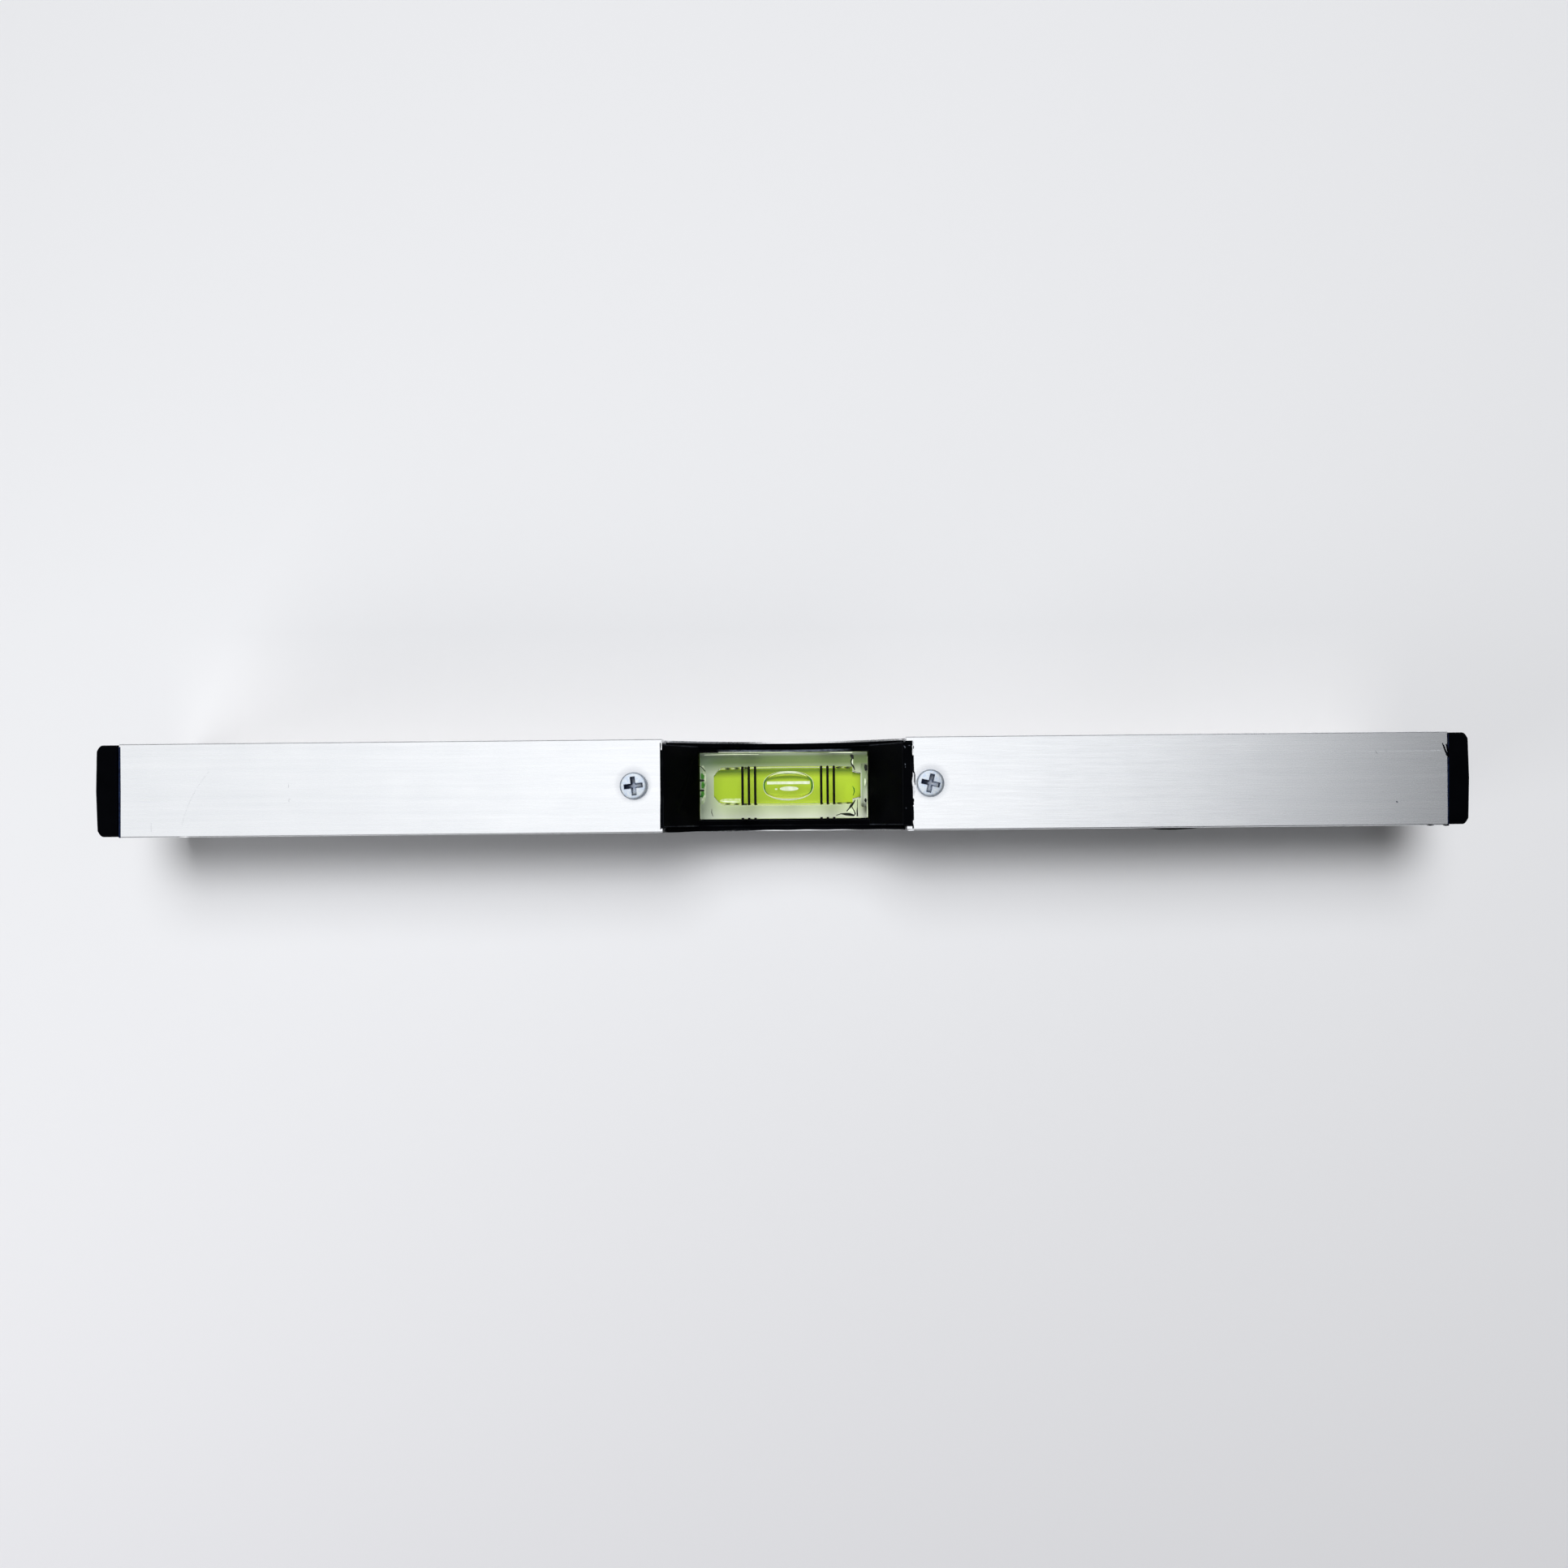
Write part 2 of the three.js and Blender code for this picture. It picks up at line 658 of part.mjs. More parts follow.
// A reading line round the plumb vial, its middle at z = 0
function makePlumbLine() {
  const inner = plumbVialRadius + lineSeat;
  const half = plumbLineHeight / 2;
  const ring = rod(inner + lineThickness, -half, half, smallSides, standAlongZ);
  return ring.subtract(rod(inner, -half - cutOverrun, half + cutOverrun, smallSides, standAlongZ));
}

const finish = (color, roughness, metalness) => new THREE.MeshStandardMaterial({
  color, roughness, metalness, flatShading: true,
});
const clearFinish = (color, opacity) => {
  const material = finish(color, 0, 0);
  material.transparent = true;
  material.opacity = opacity;
  return material;
};
const brushedAluminium = () => finish(0xd3d4d7, 0.35, 1);
const blackPlastic = () => finish(0x0b0b0d, 0.45, 0);
const whitePlastic = () => finish(0xf1f2ee, 0.4, 0);
const clearAcrylic = () => clearFinish(0xe6efe2, 0.35);
const limeSpirit = () => finish(0xb2d43c, 0.1, 0);
const airBubble = () => clearFinish(0xdcec9a, 0.6);
const blackInk = () => finish(0x050506, 0.5, 0);
const zincPlate = () => finish(0xc9d3e0, 0.3, 1);
const nickelPlate = () => finish(0xb9babd, 0.25, 1);

const spiritLevel = new THREE.Group();

function addPiece(name, solid, material, x = 0, y = 0, z = 0, turn = 0) {
  const piece = new THREE.Mesh(toGeometry(solid), material);
  piece.name = name;
  piece.position.set(x, y, z);
  piece.rotation.z = turn;
  spiritLevel.add(piece);
}

function addLines() {
  const halfInner = innerLineSpacing / 2;
  const leftLines = [2, 1, 0].map((step) => linesCentre - halfInner - linePitch * step);
  const rightLines = [0, 1, 2].map((step) => linesCentre + halfInner + linePitch * step);
  const outline = roundBar(lineWidth, lineLength);
  const flat = prismUp(outline, lineSeat, lineSeat + lineThickness, lineEndSteps);
  const upright = prismAcross(outline, -lineSeat - lineThickness, -lineSeat, lineEndSteps);
  [...leftLines, ...rightLines].forEach((x, index) => {
    addPiece(`top_line_${index + 1}`, flat, blackInk(), x, 0, blockTop);
    addPiece(`front_line_${index + 1}`, upright, blackInk(), x, -blockWidth / 2, vialHeight);
    addPiece(`back_line_${index + 1}`, upright, blackInk(), x, blockWidth / 2, vialHeight, Math.PI);
  });
}

function addPlumbVial() {
  const shell = makePlumbShell();
  const line = makePlumbLine();
  const lineOffset = plumbBubbleLength / 2 + plumbLineGap + plumbLineHeight / 2;
  const bubbleHigh = plumbLiquidTop - bubbleGap - plumbBubbleLength / 2;
  addPiece("plumb_shell_front", shell, blackPlastic(), plumbX, 0, plumbHeight);
  addPiece("plumb_shell_back", shell, blackPlastic(), plumbX, 0, plumbHeight, Math.PI);
  addPiece("plumb_vial", makePlumbVial(), clearAcrylic(), plumbX);
  addPiece("plumb_plug", makePlumbPlug(), clearAcrylic(), plumbX);
  addPiece("plumb_liquid", makePlumbLiquid(), limeSpirit(), plumbX);
  addPiece("plumb_bubble", makePlumbBubble(), airBubble(), plumbX, 0, bubbleHigh);
  addPiece("plumb_line_upper", line, blackInk(), plumbX, 0, plumbHeight + lineOffset);
  addPiece("plumb_line_lower", line, blackInk(), plumbX, 0, plumbHeight - lineOffset);
}

const cap = makeEndCap();
const screw = makeScrew();
const magnet = makeMagnet();
const carrier = makeCarrier();

addPiece("level_body", makeBody(), brushedAluminium());
addPiece("end_cap_right", cap, blackPlastic(), bodyRight + capSeamRight);
addPiece("end_cap_left", cap, blackPlastic(), bodyLeft - capSeamLeft, 0, 0, Math.PI);
addPiece("vial_holder", makeHolder(), blackPlastic());
addPiece("vial_reflector", makeReflector(), whitePlastic());
addPiece("vial_block", makeBlock(), clearAcrylic());
addPiece("vial_plug", makeVialPlug(), clearAcrylic());
addPiece("vial_liquid", makeLiquid(), limeSpirit());
addPiece("level_bubble", makeBubble(), airBubble(), linesCentre, 0, vialHeight + bubbleRise);
addLines();
addPiece("holder_screw_left", screw, zincPlate(), screwLeft, 0, bodyTop + screwSeat, screwTurnLeft);
addPiece("holder_screw_right", screw, zincPlate(), screwRight, 0, bodyTop + screwSeat, screwTurnRight);
addPiece("magnet_left", magnet, nickelPlate(), magnetLeft, 0, magnetRecess);
addPiece("magnet_right", magnet, nickelPlate(), magnetRight, 0, magnetRecess);
addPiece("magnet_carrier_left", carrier, blackPlastic(), magnetLeft);
addPiece("magnet_carrier_right", carrier, blackPlastic(), magnetRight);
addPlumbVial();

export default spiritLevel;
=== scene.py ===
"""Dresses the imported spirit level: finer shapes where the photograph shows more, and a finish for each."""

import math

import bmesh
import bpy
from mathutils import Matrix, Vector


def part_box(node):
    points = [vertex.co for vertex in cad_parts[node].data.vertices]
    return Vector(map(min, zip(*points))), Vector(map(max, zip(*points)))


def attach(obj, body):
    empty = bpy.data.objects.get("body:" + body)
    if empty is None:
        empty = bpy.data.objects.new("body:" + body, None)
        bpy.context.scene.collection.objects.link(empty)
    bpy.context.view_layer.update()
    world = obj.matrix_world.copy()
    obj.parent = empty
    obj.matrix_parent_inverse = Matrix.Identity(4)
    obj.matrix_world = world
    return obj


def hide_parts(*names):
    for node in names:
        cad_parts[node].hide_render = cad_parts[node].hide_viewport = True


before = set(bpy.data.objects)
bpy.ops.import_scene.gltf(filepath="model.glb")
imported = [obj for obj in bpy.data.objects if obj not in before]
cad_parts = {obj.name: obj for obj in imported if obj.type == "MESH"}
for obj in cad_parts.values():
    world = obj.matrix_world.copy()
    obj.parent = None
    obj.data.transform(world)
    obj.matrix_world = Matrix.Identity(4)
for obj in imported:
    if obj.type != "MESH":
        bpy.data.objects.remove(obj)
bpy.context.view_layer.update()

MM = 0.001

# The picture: its size, its focal length, the pixel under the lens and the pixel of the level's middle
PICTURE_SIZE = 1932
FOCAL_PIXELS = 1953
LENS_PIXEL = Vector((1000, 1004))
LEVEL_PIXEL = Vector((964.2, 966.8))
LENS_ABOVE_TOP = 345.9 * MM
LEVEL_TURN = math.radians(0.555)
SENSOR_WIDTH = 36

# How strongly clear acrylic and spirit bend light, and the same against what they lie in
ACRYLIC_IOR = 1.49
SPIRIT_IOR = 1.36
SPIRIT_IN_ACRYLIC = SPIRIT_IOR / ACRYLIC_IOR
AIR_IN_SPIRIT = 1 / SPIRIT_IOR

# Places taken from the frame
body_low, body_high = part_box("level_body")
block_low, block_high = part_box("vial_block")
liquid_low, liquid_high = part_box("vial_liquid")
bubble_low, bubble_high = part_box("level_bubble")
TOP = body_high.z
BODY_HALF_WIDTH = body_high.y
VIAL_HEIGHT = (block_low.z + block_high.z) / 2
BUBBLE_MIDDLE = (bubble_low.x + bubble_high.x) / 2

# A bore is this much wider than the CAD node of its spirit
BORE_CLEARANCE = 0.2 * MM
BORE_RADIUS = liquid_high.y + BORE_CLEARANCE


def middle_of(node):
    """The middle of a CAD node's box."""
    low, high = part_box(node)
    return (low + high) / 2


def linear(red, green, blue):
    """A colour read off a screen, as Blender's linear numbers."""
    def lift(value):
        share = value / 255
        return share / 12.92 if share <= 0.04045 else ((share + 0.055) / 1.055) ** 2.4
    return (lift(red), lift(green), lift(blue), 1)


# What the camera sees behind the level, where the pale surface ends
BACKDROP = linear(236, 237, 240)


# Camera

def lens_place():
    """Where the lens is: straight above the point that the lens pixel shows."""
    scale = LENS_ABOVE_TOP / FOCAL_PIXELS
    off = Vector((LENS_PIXEL.x - LEVEL_PIXEL.x, LEVEL_PIXEL.y - LENS_PIXEL.y)) * scale
    off.rotate(Matrix.Rotation(-LEVEL_TURN, 2))
    return Vector((off.x, off.y, TOP + LENS_ABOVE_TOP))


def place_in_picture(across, down, height):
    """The point at a height that shows at a pixel of the picture."""
    lens = lens_place()
    scale = (lens.z - height) / FOCAL_PIXELS
    off = Vector((across - LENS_PIXEL.x, LENS_PIXEL.y - down)) * scale
    off.rotate(Matrix.Rotation(-LEVEL_TURN, 2))
    return Vector((lens.x + off.x, lens.y + off.y, height))


def place_in_block(across, down, height):
    """The same for a point inside the clear block, which shows it nearer than it is."""
    seen = block_high.z - (block_high.z - height) / ACRYLIC_IOR
    point = place_in_picture(across, down, seen)
    point.z = height
    return point


def add_camera():
    """The photograph's camera, which looks straight down. Its shift puts the lens pixel under it."""
    data = bpy.data.cameras.new("camera")
    data.sensor_width = SENSOR_WIDTH
    data.lens = SENSOR_WIDTH * FOCAL_PIXELS / PICTURE_SIZE
    data.shift_x = 0.5 - LENS_PIXEL.x / PICTURE_SIZE
    data.shift_y = LENS_PIXEL.y / PICTURE_SIZE - 0.5
    data.clip_start = 0.01
    data.clip_end = 20
    camera = bpy.data.objects.new("camera", data)
    camera.location = lens_place()
    camera.rotation_euler = (0, 0, -LEVEL_TURN)
    bpy.context.scene.collection.objects.link(camera)
    bpy.context.scene.camera = camera


# Nodes

def add_node(tree, kind, inputs=None, **settings):
    """A shader node with its settings, and its inputs set or linked."""
    node = tree.nodes.new("ShaderNode" + kind)
    for name, value in settings.items():
        setattr(node, name, value)
    for name, value in (inputs or {}).items():
        if isinstance(value, bpy.types.NodeSocket):
            tree.links.new(value, node.inputs[name])
        else:
            node.inputs[name].default_value = value
    return node


def combined(tree, kind, first, second):
    """Two values put together by a Math node."""
    return add_node(tree, "Math", {0: first, 1: second}, operation=kind).outputs[0]


def times(tree, first, second):
    """The product of two values."""
    return combined(tree, "MULTIPLY", first, second)


def blended(tree, share, first, second):
    """A colour between two others."""
    mix = add_node(tree, "Mix", data_type="RGBA")
    for socket, value in ((mix.inputs[0], share), (mix.inputs[6], first), (mix.inputs[7], second)):
        if isinstance(value, bpy.types.NodeSocket):
            tree.links.new(value, socket)
        else:
            socket.default_value = value
    return mix.outputs[2]


def ranged(tree, value, low, high, to_low, to_high, way="LINEAR"):
    """A value moved from one range to another and kept inside it."""
    inputs = {"Value": value, "From Min": low, "From Max": high, "To Min": to_low, "To Max": to_high}
    return add_node(tree, "MapRange", inputs, interpolation_type=way).outputs["Result"]


def spread(tree, noise, low, high):
    """A noise, most of which lies between 0.3 and 0.7, spread between two values."""
    return ranged(tree, noise, 0.3, 0.7, low, high)


def stretched(tree, vector, scale):
    """A vector times another, axis by axis."""
    return add_node(tree, "VectorMath", {0: vector, 1: scale}, operation="MULTIPLY").outputs[0]


def place(tree):
    """The point being painted, in metres."""
    return add_node(tree, "TexCoord").outputs["Object"]


def place_parts(tree):
    """The same point's X, Y and Z."""
    return add_node(tree, "SeparateXYZ", {"Vector": place(tree)}).outputs


def new_effect(name, inputs, outputs):
    """An empty node group with named sockets, and its two ends."""
    group = bpy.data.node_groups.new(name, "ShaderNodeTree")
    number = "NodeSocketFloat"
    for label, value in inputs.items():
        group.interface.new_socket(label, in_out="INPUT", socket_type=number).default_value = value
    for label in outputs:
        group.interface.new_socket(label, in_out="OUTPUT", socket_type=number)
    return group, group.nodes.new("NodeGroupInput"), group.nodes.new("NodeGroupOutput")


def use_effect(tree, group, **inputs):
    """What an effect gives, placed in a material with its own values or links."""
    node = tree.nodes.new("ShaderNodeGroup")
    node.node_tree = group
    for name, value in inputs.items():
        socket = node.inputs[name.replace("_", " ").capitalize()]
        if isinstance(value, bpy.types.NodeSocket):
            tree.links.new(value, socket)
        else:
            socket.default_value = value
    return node.outputs[0]


# Effects

def make_brushed_lines():
    """Long fine lines along the level, from 0 to 1."""
    group, start, end = new_effect("brushed_lines", {"Length": 20 * MM, "Pitch": 0.5 * MM}, ["Lines"])
    along = combined(group, "DIVIDE", 1.0, start.outputs["Length"])
    across = combined(group, "DIVIDE", 1.0, start.outputs["Pitch"])
    scale = add_node(group, "CombineXYZ", {"X": along, "Y": across, "Z": across}).outputs[0]
    point = stretched(group, place(group), scale)
    noise = add_node(group, "TexNoise", {"Vector": point, "Scale": 1.0, "Detail": 3.0, "Roughness": 0.6})
    group.links.new(noise.outputs["Fac"], end.inputs["Lines"])
    return group


def make_clouds():
    """Soft patches, from 0 to 1."""
    group, start, end = new_effect("clouds", {"Patch size": 5 * MM, "Detail": 2.0}, ["Tone"])
    scale = combined(group, "DIVIDE", 1.0, start.outputs["Patch size"])
    inputs = {"Vector": place(group), "Scale": scale, "Detail": start.outputs["Detail"]}
    noise = add_node(group, "TexNoise", inputs)
    group.links.new(noise.outputs["Fac"], end.inputs["Tone"])
    return group


def make_marks():
    """Scattered marks: 1 on one and 0 beside it. Long ones are scratches and round ones are specks."""
    sizes = {"Spacing": 4 * MM, "Length": 1.0, "Width": 0.02, "Turn": 0.0}
    group, start, end = new_effect("marks", sizes, ["Marks"])
    spin = add_node(group, "VectorRotate", {"Vector": place(group), "Angle": start.outputs["Turn"]},
                    rotation_type="Z_AXIS").outputs[0]
    nearness = combined(group, "DIVIDE", 1.0, start.outputs["Spacing"])
    along = combined(group, "DIVIDE", nearness, start.outputs["Length"])
    scale = add_node(group, "CombineXYZ", {"X": along, "Y": nearness, "Z": nearness}).outputs[0]
    cells = add_node(group, "TexVoronoi", {"Vector": stretched(group, spin, scale), "Scale": 1.0})
    mark = combined(group, "LESS_THAN", cells.outputs["Distance"], start.outputs["Width"])
    group.links.new(mark, end.inputs["Marks"])
    return group


def make_worn_edges():
    """1 on rounded-over edges and 0 on flats, from how far the softened normal leaves the true one."""
    group, start, end = new_effect("worn_edges", {"Reach": 0.3 * MM, "Sharpness": 8.0}, ["Edges"])
    soft = add_node(group, "Bevel", {"Radius": start.outputs["Reach"]}, samples=4).outputs[0]
    true = add_node(group, "NewGeometry").outputs["Normal"]
    close = add_node(group, "VectorMath", {0: soft, 1: true}, operation="DOT_PRODUCT").outputs["Value"]
    away = combined(group, "SUBTRACT", 1.0, close)
    inputs = {0: away, 1: start.outputs["Sharpness"]}
    edges = add_node(group, "Math", inputs, operation="MULTIPLY", use_clamp=True)
    group.links.new(edges.outputs[0], end.inputs["Edges"])
    return group


def make_band():
    """1 between two places along a direction and 0 beyond them, with soft sides."""
    sizes = {"Place": 0.0, "Low": 0.0, "High": 1 * MM, "Blend": 0.2 * MM}
    group, start, end = new_effect("band", sizes, ["Band"])
    after_low = combined(group, "SUBTRACT", start.outputs["Place"], start.outputs["Low"])
    before_high = combined(group, "SUBTRACT", start.outputs["High"], start.outputs["Place"])
    inside = combined(group, "MINIMUM", after_low, before_high)
    share = combined(group, "ADD", combined(group, "DIVIDE", inside, start.outputs["Blend"]), 0.5)
    group.links.new(ranged(group, share, 0.0, 1.0, 0.0, 1.0), end.inputs["Band"])
    return group


def make_halo():
    """1 near an upright line and 0 away from it, with a soft edge."""
    group, start, end = new_effect("halo", {"X": 0.0, "Y": 0.0, "Inner": 3 * MM, "Outer": 4 * MM}, ["Halo"])
    parts = place_parts(group)
    beside = [combined(group, "SUBTRACT", parts[axis], start.outputs[axis]) for axis in ("X", "Y")]
    flat = add_node(group, "CombineXYZ", {"X": beside[0], "Y": beside[1]}).outputs[0]
    distance = add_node(group, "VectorMath", {0: flat}, operation="LENGTH").outputs["Value"]
    halo = ranged(group, distance, start.outputs["Inner"], start.outputs["Outer"], 1.0, 0.0)
    group.links.new(halo, end.inputs["Halo"])
    return group


brushed_lines = make_brushed_lines()
clouds = make_clouds()
marks = make_marks()
worn_edges = make_worn_edges()
band = make_band()
halo = make_halo()


# Finishes

def new_finish(name):
    """A material with its own shader, which the finish then feeds."""
    material = bpy.data.materials.new(name)
    material.use_nodes = True
    tree = material.node_tree
    return material, tree, tree.nodes["Principled BSDF"]


def feed(shader, **inputs):
    """Sets or links the shader's sockets."""
    for name, value in inputs.items():
        label = name.replace("_", " ").title().replace("Ior", "IOR")
        if isinstance(value, bpy.types.NodeSocket):
            shader.id_data.links.new(value, shader.inputs[label])
        else:
            shader.inputs[label].default_value = value


def bumped(tree, height, distance, strength):
    """A normal pushed about by a height."""
    inputs = {"Height": height, "Distance": distance, "Strength": strength}
    return add_node(tree, "Bump", inputs).outputs["Normal"]


def brushed_aluminium():
    material, tree, shader = new_finish("brushed_aluminium")
    long_lines = use_effect(tree, brushed_lines, length=40 * MM, pitch=0.8 * MM)
    fine_lines = use_effect(tree, brushed_lines, length=6 * MM, pitch=0.16 * MM)
    patches = use_effect(tree, clouds, patch_size=9 * MM, detail=4.0)
    nicks = use_effect(tree, marks, spacing=7 * MM, length=1.0, width=0.012)
    edges = use_effect(tree, worn_edges, reach=0.25 * MM, sharpness=6.0)
    tone = combined(tree, "ADD", times(tree, long_lines, 0.6), times(tree, patches, 0.4))
    plain = blended(tree, spread(tree, tone, 0, 1), (0.83, 0.84, 0.86, 1), (0.90, 0.905, 0.92, 1))
    nicked = blended(tree, times(tree, nicks, 0.5), plain, (0.6, 0.6, 0.62, 1))
    edge_toned = blended(tree, times(tree, edges, 0.5), nicked, (0.6, 0.6, 0.62, 1))
    # Painted shade: a soft dark halo a little off centre around each screw head stands for its shadow and
    # its dark reflection in the metal
    for side, lean in (("left", -0.2 * MM), ("right", 0.2 * MM)):
        middle = middle_of("holder_screw_" + side) + Vector((lean, 0.35 * MM, 0))
        painted_screw_shade = use_effect(tree, halo, x=middle.x, y=middle.y, inner=3.0 * MM, outer=4.3 * MM)
        edge_toned = blended(tree, times(tree, painted_screw_shade, 0.34), edge_toned, (0.38, 0.40, 0.45, 1))
    relief = combined(tree, "ADD", fine_lines, times(tree, long_lines, 0.5))
    feed(shader, base_color=edge_toned, metallic=1.0)
    feed(shader, roughness=spread(tree, fine_lines, 0.24, 0.30))
    feed(shader, normal=bumped(tree, relief, 0.02 * MM, 0.12))
    return material


def black_plastic(name, speck_spacing, grain_size, edge_shine):
    """Moulded black plastic with a fine grain, pale specks, and rounded edges painted a little lighter as a
    painted highlight.
    """
    material, tree, shader = new_finish(name)
    grain = use_effect(tree, clouds, patch_size=grain_size, detail=3.0)
    patches = use_effect(tree, clouds, patch_size=4 * MM, detail=2.0)
    specks = use_effect(tree, marks, spacing=speck_spacing, length=1.0, width=0.05)
    edges = use_effect(tree, worn_edges, reach=0.15 * MM, sharpness=8.0)
    dark = blended(tree, patches, (0.0004, 0.0005, 0.0008, 1), (0.0015, 0.0017, 0.0025, 1))
    dusty = blended(tree, times(tree, specks, 0.5), dark, (0.04, 0.046, 0.06, 1))
    # Painted highlight: rounded edges turn towards the shine colour, more in some patches than in others
    edge_highlight_mask = times(tree, edges, ranged(tree, patches, 0.4, 0.6, 0.2, 1))
    edge_toned = blended(tree, edge_highlight_mask, dusty, edge_shine)
    feed(shader, specular_ior_level=0.012)
    feed(shader, roughness=spread(tree, grain, 0.4, 0.6))
    feed(shader, normal=bumped(tree, grain, 0.02 * MM, 0.4))
    return material, shader, edge_toned


def cap_plastic():
    shine = (0.004, 0.006, 0.02, 1)
    material, shader, colour = black_plastic("cap_plastic", 3 * MM, 0.12 * MM, shine)
    feed(shader, base_color=colour)
    return material


def holder_plastic():
    """The holder's plastic, with a painted bluish reflection in the narrow ledge along the back of the
    block.
    """
    shine = (0.022, 0.024, 0.03, 1)
    back = block_high.y
    end_gap = 6 * MM
    material, shader, colour = black_plastic("holder_plastic", 0.7 * MM, 0.2 * MM, shine)
    tree = material.node_tree
    parts = place_parts(tree)
    across = use_effect(tree, band, place=parts["Y"], low=back + 0.4 * MM, high=back + 0.9 * MM)
    ends = {"low": block_low.x + end_gap, "high": block_high.x - end_gap, "blend": 5 * MM}
    along = use_effect(tree, band, place=parts["X"], **ends)
    streaks = use_effect(tree, brushed_lines, length=3 * MM, pitch=0.3 * MM)
    # Painted reflection: a streaky bluish band along the ledge behind the block
    ledge_reflection = times(tree, times(tree, across, along), ranged(tree, streaks, 0.35, 0.65, 0.2, 1.0))
    feed(shader, base_color=blended(tree, ledge_reflection, colour, linear(112, 120, 134)))
    return material


def vial_backing():
    """The white plate under the block, with painted light and shade: a dark green painted shadow along its
    back edge, a painted pale reflection along its back rim, painted light towards the front and painted
    shade towards its left end.
    """
    material, tree, shader = new_finish("vial_backing")
    parts = place_parts(tree)
    patches = use_effect(tree, clouds, patch_size=6 * MM, detail=2.0)
    # Painted shadow: dark green along the back edge, where the back wall would shade the plate
    back = ranged(tree, parts["Y"], 2.5 * MM, 5.0 * MM, 0, 1)
    # Painted reflection: a pale band along the back rim
    rim = use_effect(tree, band, place=parts["Y"], low=6.6 * MM, high=9 * MM, blend=0.5 * MM)
    # Painted light: paler towards the front
    front = ranged(tree, parts["Y"], -7.5 * MM, -4.5 * MM, 1, 0)
    # Painted shade: darker towards the left end
    leftward = ranged(tree, parts["X"], -16 * MM, 4 * MM, 1, 0)
    end = ranged(tree, parts["X"], -18.5 * MM, -13.5 * MM, 1, 0)
    pale = blended(tree, patches, linear(220, 228, 204), linear(228, 235, 214))
    near = blended(tree, times(tree, front, 0.8), pale, linear(250, 252, 246))
    dark = blended(tree, leftward, linear(124, 146, 90), linear(80, 106, 50))
    with_back_shadow = blended(tree, back, near, dark)
    with_rim_reflection = blended(tree, rim, with_back_shadow, linear(196, 208, 188))
    with_left_shade = blended(tree, times(tree, leftward, 0.2), with_rim_reflection, linear(150, 172, 140))
    shade = blended(tree, times(tree, end, 0.55), with_left_shade, linear(112, 138, 112))
    feed(shader, base_color=shade, roughness=spread(tree, patches, 0.35, 0.5))
    return material


def tinted(name, first, second, glow=0.0):
    """A plain finish that wanders between two colours, with a glow where it stands for the lamp's light."""
    material, tree, shader = new_finish(name)
    patches = use_effect(tree, clouds, patch_size=0.8 * MM, detail=3.0)
    colour = blended(tree, ranged(tree, patches, 0.35, 0.65, 0, 1), first, second)
    feed(shader, base_color=colour, emission_color=colour, emission_strength=glow)
    feed(shader, roughness=spread(tree, patches, 0.3, 0.5), specular_ior_level=0.1)
    return material


def plug_plastic():
    """The plug's pale plastic, with streaks across it like the marks of a lathe."""
    material, tree, shader = new_finish("plug_plastic")
    along = stretched(tree, place(tree), (1, 0.06, 0.06))
    noise = add_node(tree, "TexNoise", {"Vector": along, "Scale": 1 / (0.7 * MM), "Detail": 2.0})
    streaks = noise.outputs["Fac"]
    tone = ranged(tree, streaks, 0.4, 0.6, 0, 1)
    feed(shader, base_color=blended(tree, tone, linear(150, 170, 126), linear(226, 234, 214)))
    feed(shader, roughness=spread(tree, streaks, 0.3, 0.5))
    return material


def let_lamps_through(tree, shader, tint):
    """Lets the light of lamps reach what lies inside something clear."""
    output = tree.nodes["Material Output"]
    open_way = add_node(tree, "BsdfTransparent", {"Color": tint})
    ray = add_node(tree, "LightPath").outputs["Is Shadow Ray"]
    both = add_node(tree, "MixShader", {0: ray, 1: shader.outputs[0], 2: open_way.outputs[0]})
    tree.links.new(both.outputs[0], output.inputs["Surface"])


def clear_acrylic():
    material, tree, shader = new_finish("clear_acrylic")
    scratches = use_effect(tree, marks, spacing=2.5 * MM, length=6.0, width=0.02, turn=0.9)
    smears = use_effect(tree, clouds, patch_size=3 * MM, detail=3.0)
    tone = blended(tree, smears, (0.97, 0.985, 0.96, 1), (0.99, 0.995, 0.985, 1))
    feed(shader, base_color=tone, transmission_weight=1.0, ior=ACRYLIC_IOR)
    feed(shader, specular_tint=(0.4, 0.4, 0.4, 1))
    feed(shader, roughness=ranged(tree, scratches, 0, 1, 0.0, 0.35))
    let_lamps_through(tree, shader, (1, 1, 1, 1))
    return material


def lime_spirit():
    material, tree, shader = new_finish("lime_spirit")
    depth = use_effect(tree, clouds, patch_size=12 * MM, detail=1.0)
    tone = blended(tree, depth, (0.70, 0.86, 0.065, 1), (0.74, 0.88, 0.07, 1))
    feed(shader, base_color=tone, transmission_weight=1.0, ior=SPIRIT_IN_ACRYLIC, roughness=0.0)
    # A faint glow in the spirit's colour: painted light, which stands for the spirit's fluorescence and
    # evens out its look
    feed(shader, emission_color=blended(tree, depth, linear(150, 196, 40), linear(170, 205, 50)))
    feed(shader, emission_strength=0.03)
    let_lamps_through(tree, shader, (0.97, 1.0, 0.9, 1))
    return material


def trapped_air():
    material, tree, shader = new_finish("trapped_air")
    film = use_effect(tree, clouds, patch_size=2 * MM, detail=1.0)
    tone = blended(tree, film, (0.97, 1.0, 0.9, 1), (1, 1, 1, 1))
    feed(shader, base_color=tone, transmission_weight=1.0, ior=AIR_IN_SPIRIT, roughness=0.0)
    let_lamps_through(tree, shader, (1, 1, 1, 1))
    return material


